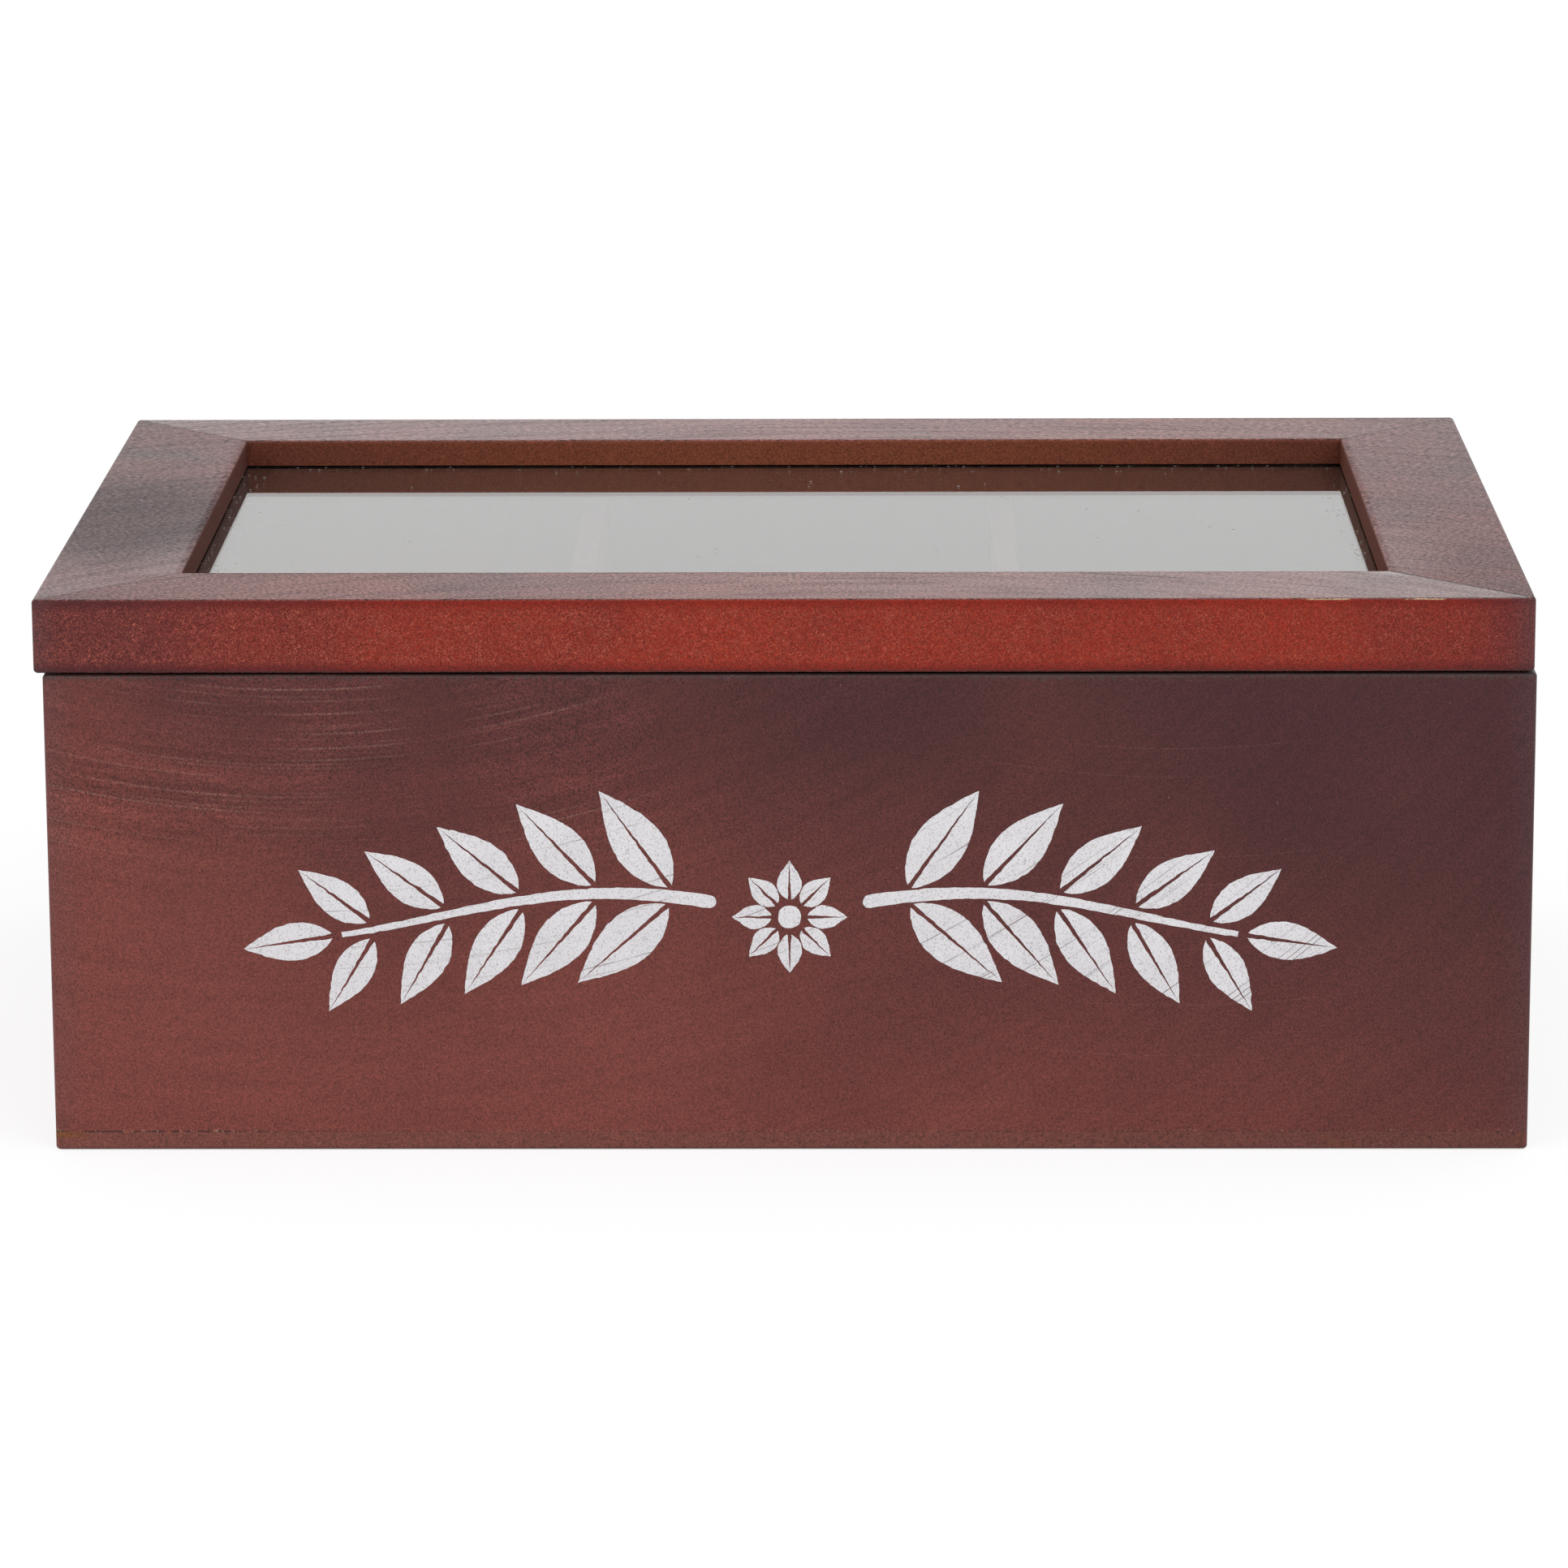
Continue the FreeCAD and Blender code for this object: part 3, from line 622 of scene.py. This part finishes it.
def divider_material(colours):
    """Thin stained boards, darker along their top edges."""
    finish = PieceFinish("divider_stain")
    fibres = felted_fibres(finish)
    clouds = finish.noise(finish.place, size=30, detail=3)
    sawn = finish.ease(finish.facing_z, 0.5, 0.9)
    darkness = finish.ease(clouds, 0.3, 0.7).most(sawn * 0.9)
    tone = finish.mix(darkness, rgba(colours.warm_stain), rgba(colours.dark_stain))
    tone = finish.mix(fibres * 0.25, tone, rgba(colours.rubbed_stain))
    colour = finish.scaled(tone, fine_grain(finish, finish.place, strength=2.6))
    gloss = 0.5 + fibres * 0.12
    relief = finish.bump(fibres, depth=0.03)
    finish.end(finish.surface(Base_Color=colour, Roughness=gloss, IOR=1.35, Normal=relief))
    return finish.material


def glass_material(colours):
    """Clear glass with dust along the frame."""
    finish = PieceFinish("clear_glass")
    opening_low, opening_high = lid_opening()
    smears = finish.noise(finish.place, size=18, detail=4, roughness=0.6, distortion=0.8)
    clear = finish.surface(
        Base_Color=rgba(colours.glass),
        Roughness=finish.ease(smears, 0.45, 0.9) * 0.03,
        IOR=1.47,
        Transmission_Weight=1.0,
    )
    rim_x = (finish.x - opening_low.x).least(opening_high.x - finish.x)
    rim_y = (finish.y - opening_low.y).least(opening_high.y - finish.y)
    dust_and_shade_fades, film = (1, 7), 0.03
    rim = 1 - finish.ease(rim_x.least(rim_y), *dust_and_shade_fades)
    specks = dust_specks(finish, spacing=1.3, share=0.002 + rim * 0.35)
    dust = specks * 0.6 + film
    dusty = finish.surface(Base_Color=rgba(colours.dust), Roughness=0.9)
    finish.end(finish.add("ShaderNodeMixShader", values={0: dust, 1: clear, 2: dusty}))
    return finish.material


def dust_specks(finish, spacing, share):
    """Grains of dust in a share of the cells of an uneven net, longer from front to rear."""
    stretch, smallest, growth = 1.8, 0.08, 0.2
    net = {"Vector": finish.join(finish.x, finish.y / stretch, 0), "Scale": 1 / spacing}
    distance = finish.add("ShaderNodeTexVoronoi", {"voronoi_dimensions": "2D"}, net)
    size, chance = finish.split(distance.sibling("Color"))[:2]
    radius = size * growth + smallest
    grain = 1 - finish.ease(distance, radius / 2, radius)
    return grain * (1 - finish.ease(chance, share, share + 0.01))


def brass_material(name, colours, tarnish):
    """Rolled brass with fine draw lines and brown tarnish."""
    finish = PieceFinish(name)
    line_length, line_width = 6, 0.12
    drawn = finish.join(finish.x / line_length, finish.y / line_width, finish.z / line_width)
    lines = finish.noise(drawn, size=1, detail=3, roughness=0.7)
    spots = finish.noise(finish.place, size=2.6, detail=4, roughness=0.65)
    dull = finish.ease(spots, 0.42, 0.75)
    tone = finish.mix(dull * tarnish, rgba(colours.brass), rgba(colours.tarnish))
    tone = finish.mix(lines * 0.2, tone, rgba(colours.tarnish))
    gloss = 0.24 + dull * 0.22 + lines * 0.1
    relief = finish.bump(lines, depth=0.01)
    finish.end(finish.surface(Base_Color=tone, Metallic=1.0, Roughness=gloss, Normal=relief))
    return finish.material


def steel_material(colours):
    """Galvanised staple wire."""
    finish = PieceFinish("staple_steel")
    spangle = finish.noise(finish.place, size=0.8, detail=3, roughness=0.6)
    tone = finish.mix(finish.ease(spangle, 0.35, 0.7), rgba(colours.steel), rgba(colours.dull_steel))
    gloss = 0.3 + spangle * 0.25
    relief = finish.bump(spangle, depth=0.015)
    finish.end(finish.surface(Base_Color=tone, Metallic=1.0, Roughness=gloss, Normal=relief))
    return finish.material


def paint_material(paint):
    """White stencil paint, cracked along the wiping strokes and rubbed through in pores."""
    finish = PieceFinish("sprig_paint")
    swing = swing_about(finish, finish.x + finish.y, finish.z, WALL_SWING)
    cracks = swung_scratches(finish, swing, spacing=0.35, thickness=0.12, reach=20, spread=340)
    pores = finish.ease(finish.noise(finish.place, size=0.26, detail=3, roughness=0.8), 0.52, 0.66)
    thin = finish.noise(finish.place, size=9, detail=3)
    tone = finish.mix(finish.ease(thin, 0.3, 0.75) * 0.5, rgba(paint.white), rgba(paint.thin_white))
    tone = finish.mix(pores * 0.55, tone, rgba(paint.crack))
    tone = finish.mix(cracks * finish.ease(thin, 0.3, 0.6) * 0.9, tone, rgba(paint.crack))
    gloss = 0.5 + pores * 0.2
    relief = finish.bump(1 - cracks, depth=0.03)
    finish.end(finish.surface(Base_Color=tone, Roughness=gloss, IOR=1.4, Normal=relief))
    return finish.material


def ragged(point):
    """A point of a painted outline, moved a little as paint creeps under a stencil."""
    other_layer = Vector((0, 0, 9))
    shift = Vector((0, 0))
    for creep, reach in PAINT_CREEP:
        place = Vector((*point, 0)) * reach
        shift += creep * Vector((ripple_at(place), ripple_at(place + other_layer)))
    return Vector(point) + shift


def half_leaf(length, width, rib, side):
    """One side of a leaf, from its stalk at the origin to its tip along the first axis."""
    steps = 36
    belly = 0.8
    outer = []
    inner = []
    for step in range(steps + 1):
        share = step / steps
        rib_half = rib / 2 * (1 - share)
        swell = width / 2 * math.sin(math.pi * share**belly)
        outer.append((length * share, side * (rib_half + swell)))
        inner.append((length * share, side * rib_half))
    return outer + inner[-2:0:-1]


def turned(outline, angle, place):
    """An outline turned by an angle and moved to a place."""
    turn = Matrix.Rotation(angle, 2)
    return [turn @ Vector(point) + place for point in outline]


def leaf(length, width, rib, angle, place):
    """The two sides of a leaf."""
    return [turned(half_leaf(length, width, rib, side), angle, place) for side in (1, -1)]


def heading(angle):
    """A step of one millimetre in a direction."""
    return Vector((math.cos(angle), math.sin(angle)))


def disc(radius, place):
    """A painted dot."""
    steps = 28
    return [place + radius * heading(2 * math.pi * step / steps) for step in range(steps)]


def branch_point(share, paint):
    """A point of the right-hand stem, from the middle of the sprig to its tip."""
    half_waves, sway = 1.5, 0.09
    reach = paint.length / MM / 2
    rise = paint.height / MM * sway
    return Vector((reach * share, rise * math.sin(half_waves * math.pi * share)))


def branch_angle(share, paint):
    """The stem's direction at that point."""
    step = 0.01
    ahead = branch_point(share + step, paint) - branch_point(share - step, paint)
    return math.atan2(ahead.y, ahead.x)


def stem(paint, start, end):
    """The tapered stem of the right-hand branch, round at its thick end."""
    steps = 60
    thick, thin = 1.1, 0.45
    upper = []
    lower = []
    for step in range(steps + 1):
        share = start + (end - start) * step / steps
        half = thick + (thin - thick) * step / steps
        across = heading(branch_angle(share, paint) + math.pi / 2) * half
        upper.append(branch_point(share, paint) + across)
        lower.append(branch_point(share, paint) - across)
    round_steps = 8
    back = branch_angle(start, paint) - math.pi / 2
    turns = [back - math.pi * step / round_steps for step in range(1, round_steps)]
    round_end = [branch_point(start, paint) + heading(turn) * thick for turn in turns]
    return upper + lower[::-1] + round_end


def branch(paint):
    """Outlines of the right-hand branch: stem, paired leaves and an end leaf."""
    start, end = 0.15, 0.84
    first_pair, last_pair = start + 0.06, end - 0.07
    pairs = 5
    spread = math.radians(48)
    largest = paint.height / MM * 0.44
    taper, slimness, rib = 0.07, 0.4, 0.8
    stalk, end_stalk = 2.2, 1.6
    outlines = [stem(paint, start, end)]
    for pair in range(pairs):
        share = first_pair + (last_pair - first_pair) * pair / (pairs - 1)
        length = largest * (1 - taper * pair)
        for side in (1, -1):
            angle = branch_angle(share, paint) + side * spread
            foot = branch_point(share, paint) + heading(angle) * stalk
            outlines += leaf(length, length * slimness, rib, angle, foot)
    end_angle = branch_angle(end, paint)
    end_foot = branch_point(end, paint) + heading(end_angle) * end_stalk
    end_length = largest * 0.75
    return outlines + leaf(end_length, end_length * slimness, rib, end_angle, end_foot)


def flower():
    """Outlines of the flower in the middle: a heart and its petals."""
    heart = 1.9
    petal_start = 2.9
    petals = 8
    outlines = [disc(heart, Vector((0, 0)))]
    for petal in range(petals):
        angle = 2 * math.pi * petal / petals
        outlines += leaf(length=6.4, width=3.6, rib=0.6, angle=angle, place=heading(angle) * petal_start)
    return outlines


def sprig_outlines(paint):
    """Both branches and the flower between them, about the sprig's middle."""
    right = branch(paint)
    left = [[Vector((-point.x, point.y)) for point in outline] for outline in right]
    return right + left + flower()


def paint_film(paint):
    """The sprig as a thin film of paint on the front wall."""
    low, high = block_of("front_wall")
    middle = Vector(((low.x + high.x) / 2, (low.z + high.z) / 2)) + Vector((0, paint.rise / MM))
    film = paint.film / MM
    mesh = bpy.data.meshes.new("painted_sprig")
    shape = bmesh.new()
    for outline in sprig_outlines(paint):
        points = [ragged(point + middle) for point in outline]
        corners = [shape.verts.new((point.x * MM, (low.y - film) * MM, point.y * MM)) for point in points]
        shape.faces.new(corners)
    bmesh.ops.recalc_face_normals(shape, faces=shape.faces)
    for face in shape.faces:
        if face.normal.y > 0:
            face.normal_flip()
    sunk = bmesh.ops.extrude_face_region(shape, geom=shape.faces[:], use_keep_orig=True)
    backs = [item for item in sunk["geom"] if isinstance(item, bmesh.types.BMVert)]
    bmesh.ops.translate(shape, verts=backs, vec=(0, 2 * film * MM, 0))
    bmesh.ops.recalc_face_normals(shape, faces=shape.faces)
    shape.to_mesh(mesh)
    shape.free()
    sprig = bpy.data.objects.new("painted_sprig", mesh)
    bpy.context.scene.collection.objects.link(sprig)
    return sprig


def colour_property(name, description, default):
    """A colour that a user may change."""
    return bpy.props.FloatVectorProperty(
        name=name, description=description, subtype="COLOR", size=3, min=0, max=1, default=default
    )


def length_property(name, description, default):
    """A length that a user may change."""
    return bpy.props.FloatProperty(
        name=name, description=description, subtype="DISTANCE", unit="LENGTH", default=default
    )


def place_property(name, description, default):
    """A place that a user may change."""
    return bpy.props.FloatVectorProperty(
        name=name, description=description, subtype="XYZ", unit="LENGTH", default=default
    )


def power_property(name, description, default):
    """The power of a lamp, which a user may change."""
    return bpy.props.FloatProperty(name=name, description=description, unit="POWER", min=0, default=default)


def angle_property(name, description, degrees):
    """An angle that a user may change."""
    return bpy.props.FloatProperty(
        name=name, description=description, subtype="ANGLE", default=math.radians(degrees)
    )


class BoxColours(bpy.types.PropertyGroup):
    """Colours of the wood, the glass and the metal."""

    warm_stain: colour_property("Warm stain", "Stain where it is thin", (0.212, 0.053, 0.041))
    dark_stain: colour_property("Dark stain", "Stain where it has pooled", (0.064, 0.0170, 0.0188))
    rubbed_stain: colour_property("Rubbed stain", "Stain wiped thin", (0.26, 0.100, 0.076))
    scratch: colour_property("Scratch", "Scratches left by the cloth", (0.50, 0.30, 0.24))
    burnish: colour_property("Burnish", "Dark stain in streaks, pits and joints", (0.030, 0.014, 0.015))
    # Painted sheen on the rounded upright edges of the walls and at the lid's ends.
    edge_sheen: colour_property("Edge sheen", "Painted sheen along upright edges", (0.110, 0.072, 0.076))
    # Dust, and painted shade at the gap under the lid and along the feet.
    dust_and_shade: colour_property("Dust and shade", "Dust and painted shade under the lid and at the foot", (0.060, 0.047, 0.044))
    edge_red: colour_property("Edge red", "Sawn edges of the lid", (0.138, 0.011, 0.0095))
    edge_orange: colour_property("Edge orange", "Sawn edges where the stain is thin", (0.295, 0.019, 0.006))
    edge_mauve: colour_property("Edge mauve", "Ends and underside of the lid's edges", (0.092, 0.017, 0.020))
    edge_fibre: colour_property("Edge fibre", "Pale fibres of a sawn edge", (0.53, 0.130, 0.085))
    inner_brown: colour_property("Inner brown", "Edges of the window in the lid", (0.205, 0.057, 0.026))
    # Painted shade at the ends and sides of the window's edges.
    inner_shade: colour_property("Inner shade", "Painted shade at the ends and sides of those edges", (0.090, 0.025, 0.016))
    ochre_scuff: colour_property("Ochre scuff", "Worn corner of the base board", (0.235, 0.080, 0.020))
    bare_wood: colour_property("Bare wood", "Board without stain", (0.52, 0.36, 0.21))
    glass: colour_property("Glass", "Tint of the pane", (0.97, 0.97, 0.97))
    dust: colour_property("Dust", "Dust on the pane", (0.42, 0.38, 0.33))
    brass: colour_property("Brass", "Hinges and screws", (0.80, 0.58, 0.24))
    tarnish: colour_property("Tarnish", "Brown film on the brass", (0.30, 0.18, 0.07))
    steel: colour_property("Steel", "Staples", (0.62, 0.62, 0.63))
    dull_steel: colour_property("Dull steel", "Dull patches of the staples", (0.34, 0.34, 0.36))


class SprigPaint(bpy.types.PropertyGroup):
    """Size and colours of the painted sprig."""

    length: length_property("Length", "Length of the sprig from tip to tip", 0.172)
    height: length_property("Height", "Height that its leaves take", 0.044)
    rise: length_property("Rise", "How far the sprig sits above the middle of the front wall", -0.002)
    film: length_property("Film", "How far the paint stands out from the wall", 0.00003)
    white: colour_property("White", "Paint where it is thick", (0.87, 0.855, 0.88))
    thin_white: colour_property("Thin white", "Paint where it is thin", (0.76, 0.745, 0.77))
    crack: colour_property("Crack", "Stain seen through cracks", (0.16, 0.10, 0.11))


class StageSettings(bpy.types.PropertyGroup):
    """The floor, the light and the camera."""

    floor_size: length_property("Floor size", "Side of the square floor", 8.0)
    floor_colour: colour_property("Floor", "Colour of the floor", (0.8, 0.8, 0.8))
    surround: bpy.props.FloatProperty(
        name="Surround", description="Brightness of the white room", min=0, default=0.72
    )
    key_power: power_property("Key lamp", "Power of the lamp on the right", 7.8)
    key_place: place_property("Key lamp place", "Where the lamp on the right hangs", (0.9, -1.3, 1.2))
    fill_power: power_property("Fill lamp", "Power of the lamp on the left", 2.7)
    fill_place: place_property("Fill lamp place", "Where the lamp on the left hangs", (-1.1, -1.3, 0.9))
    camera_place: place_property("Camera", "Where the camera stands", (0.01454, -1.14604, 0.31278))
    camera_pitch: angle_property("Pitch", "Tilt of the camera", -13.298)
    camera_yaw: angle_property("Yaw", "Turn of the camera to the left", 0.825)
    camera_roll: angle_property("Roll", "Lean of the camera", 0.258)
    camera_lens: bpy.props.FloatProperty(
        name="Lens", description="Focal length in millimetres on a 36 mm sensor", default=156.7
    )


class BOX_OT_stain_walls(bpy.types.Operator):
    """Stain the four walls"""

    bl_idname = "compartment_box.stain_walls"
    bl_label = "Stain walls"

    def execute(self, context):
        dress(WALLS, wall_material(context.scene.box_colours))
        return {"FINISHED"}


class BOX_OT_stain_lid(bpy.types.Operator):
    """Stain the rails and stiles of the lid"""

    bl_idname = "compartment_box.stain_lid"
    bl_label = "Stain lid frame"

    def execute(self, context):
        colours = context.scene.box_colours
        dress(LID_RAILS, lid_material("lid_rail_stain", colours, polish=0.63, polish_drift=0.0031))
        dress(LID_STILES, lid_material("lid_stile_stain", colours, polish=0.39, polish_drift=-0.0009))
        return {"FINISHED"}


class BOX_OT_stain_inside(bpy.types.Operator):
    """Stain the base board and the dividers"""

    bl_idname = "compartment_box.stain_inside"
    bl_label = "Stain base and dividers"

    def execute(self, context):
        colours = context.scene.box_colours
        dress(["base_panel"], base_material(colours))
        dress(DIVIDERS, divider_material(colours))
        return {"FINISHED"}


class BOX_OT_glaze(bpy.types.Operator):
    """Make the pane of clear glass"""

    bl_idname = "compartment_box.glaze"
    bl_label = "Glaze lid"

    def execute(self, context):
        dress(["glass_pane"], glass_material(context.scene.box_colours))
        return {"FINISHED"}


class BOX_OT_finish_metal(bpy.types.Operator):
    """Finish the hinges, their screws and the staples"""

    bl_idname = "compartment_box.finish_metal"
    bl_label = "Finish hinges and staples"

    def execute(self, context):
        colours = context.scene.box_colours
        dress(HINGE_PIECES, brass_material("hinge_brass", colours, tarnish=0.45))
        dress(SCREWS, brass_material("screw_brass", colours, tarnish=0.7))
        dress(["base_staples"], steel_material(colours))
        return {"FINISHED"}


class BOX_OT_paint_sprig(bpy.types.Operator):
    """Paint the leafy sprig on the front wall"""

    bl_idname = "compartment_box.paint_sprig"
    bl_label = "Paint sprig"

    def execute(self, context):
        paint = context.scene.sprig_paint
        sprig = paint_film(paint)
        sprig.data.materials.append(paint_material(paint))
        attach(sprig, "box")
        return {"FINISHED"}


class BOX_OT_set_stage(bpy.types.Operator):
    """Lay the floor, light the room and place the camera"""

    bl_idname = "compartment_box.set_stage"
    bl_label = "Set stage"

    def execute(self, context):
        scene = context.scene
        stage = scene.box_stage
        lay_floor(scene, stage)
        light_room(scene, stage)
        place_camera(scene, stage)
        scene.view_settings.view_transform = "Standard"
        return {"FINISHED"}


def seen_directly(finish):
    """1 for rays that show the room itself: straight to the camera, mirrored or through glass."""
    path = finish.add("ShaderNodeLightPath", output="Is Camera Ray")
    return path.most(path.sibling("Is Glossy Ray")).most(path.sibling("Is Transmission Ray"))


def lay_floor(scene, stage):
    """A plain floor that looks white and keeps a faint shadow."""
    half = stage.floor_size / 2
    below = -0.1 * MM
    corners = [(-half, -half, below), (half, -half, below), (half, half, below), (-half, half, below)]
    mesh = bpy.data.meshes.new("floor")
    mesh.from_pydata(corners, [], [(0, 1, 2, 3)])
    floor = bpy.data.objects.new("floor", mesh)
    scene.collection.objects.link(floor)
    mesh.materials.append(floor_material(stage))


def floor_material(stage):
    """Plain for the light that it throws back; seen directly, white with a share of the shadow."""
    material = bpy.data.materials.new("floor")
    finish = Finish(material)
    plain = finish.surface(Base_Color=rgba(stage.floor_colour), Roughness=0.9)
    shadow_share = 0.3
    lit_level = 0.9
    white_level = 1.05
    bright = finish.surface(
        Base_Color=(shadow_share, shadow_share, shadow_share, 1),
        Roughness=1.0,
        Specular_IOR_Level=0.0,
        Emission_Color=(1, 1, 1, 1),
        Emission_Strength=white_level - lit_level * shadow_share,
    )
    finish.end(finish.add("ShaderNodeMixShader", values={0: seen_directly(finish), 1: plain, 2: bright}))
    return material


def light_room(scene, stage):
    """A white room and two large soft lamps in front of the box."""
    world = bpy.data.worlds.new("white_room")
    scene.world = world
    finish = Finish(world)
    room = finish.add("ShaderNodeBackground", values={"Color": (1, 1, 1, 1), "Strength": stage.surround})
    white = finish.add("ShaderNodeBackground", values={"Color": (1, 1, 1, 1), "Strength": 1.0})
    shown = finish.add("ShaderNodeMixShader", values={0: seen_directly(finish), 1: room, 2: white})
    finish.end(shown, "ShaderNodeOutputWorld")
    add_lamp(scene, "key_lamp", stage.key_power, Vector(stage.key_place))
    add_lamp(scene, "fill_lamp", stage.fill_power, Vector(stage.fill_place))


def add_lamp(scene, name, power, place):
    """A soft lamp turned to the box, so large that in the glass it is as bright as the white room."""
    lamp = bpy.data.lights.new(name, "AREA")
    lamp.energy = power
    lamp.shape = "DISK"
    lamp.size = 2 * math.sqrt(power) / math.pi
    holder = bpy.data.objects.new(name, lamp)
    scene.collection.objects.link(holder)
    holder.location = place
    holder.rotation_mode = "QUATERNION"
    holder.rotation_quaternion = (-place).to_track_quat("-Z", "Y")


def place_camera(scene, stage):
    """The camera at the photograph's place, turned by yaw, then pitch, then roll."""
    lens = bpy.data.cameras.new("camera")
    lens.sensor_width = SENSOR_WIDTH
    lens.lens = stage.camera_lens
    camera = bpy.data.objects.new("camera", lens)
    scene.collection.objects.link(camera)
    level = Matrix.Rotation(math.radians(90), 4, "X")
    turn = Matrix.Rotation(stage.camera_yaw, 4, "Z")
    tilt = Matrix.Rotation(stage.camera_pitch, 4, "X")
    lean = Matrix.Rotation(stage.camera_roll, 4, "Y")
    camera.matrix_world = Matrix.Translation(stage.camera_place) @ turn @ tilt @ lean @ level
    scene.camera = camera


STEPS = (
    BOX_OT_set_stage,
    BOX_OT_stain_walls,
    BOX_OT_stain_lid,
    BOX_OT_stain_inside,
    BOX_OT_glaze,
    BOX_OT_finish_metal,
    BOX_OT_paint_sprig,
)


class VIEW3D_PT_compartment_box(bpy.types.Panel):
    """Lists the steps that dress the box"""

    bl_label = "Compartment box"
    bl_space_type = "VIEW_3D"
    bl_region_type = "UI"
    bl_category = "Box"

    def draw(self, context):
        for step in STEPS:
            self.layout.operator(step.bl_idname)
        for group in (context.scene.box_colours, context.scene.sprig_paint, context.scene.box_stage):
            column = self.layout.column()
            for name in group.bl_rna.properties.keys():
                if name not in ("rna_type", "name"):
                    column.prop(group, name)


CLASSES = (BoxColours, SprigPaint, StageSettings, *STEPS, VIEW3D_PT_compartment_box)


def register():
    """Registers the classes and hangs the settings on the scene."""
    for item in CLASSES:
        bpy.utils.register_class(item)
    bpy.types.Scene.box_colours = bpy.props.PointerProperty(type=BoxColours)
    bpy.types.Scene.sprig_paint = bpy.props.PointerProperty(type=SprigPaint)
    bpy.types.Scene.box_stage = bpy.props.PointerProperty(type=StageSettings)


def unregister():
    """Takes the settings and the classes away again."""
    del bpy.types.Scene.box_stage
    del bpy.types.Scene.sprig_paint
    del bpy.types.Scene.box_colours
    for item in reversed(CLASSES):
        bpy.utils.unregister_class(item)


def main():
    """Runs every step."""
    register()
    bpy.ops.compartment_box.set_stage()
    bpy.ops.compartment_box.stain_walls()
    bpy.ops.compartment_box.stain_lid()
    bpy.ops.compartment_box.stain_inside()
    bpy.ops.compartment_box.glaze()
    bpy.ops.compartment_box.finish_metal()
    bpy.ops.compartment_box.paint_sprig()


if __name__ == "__main__":
    main()
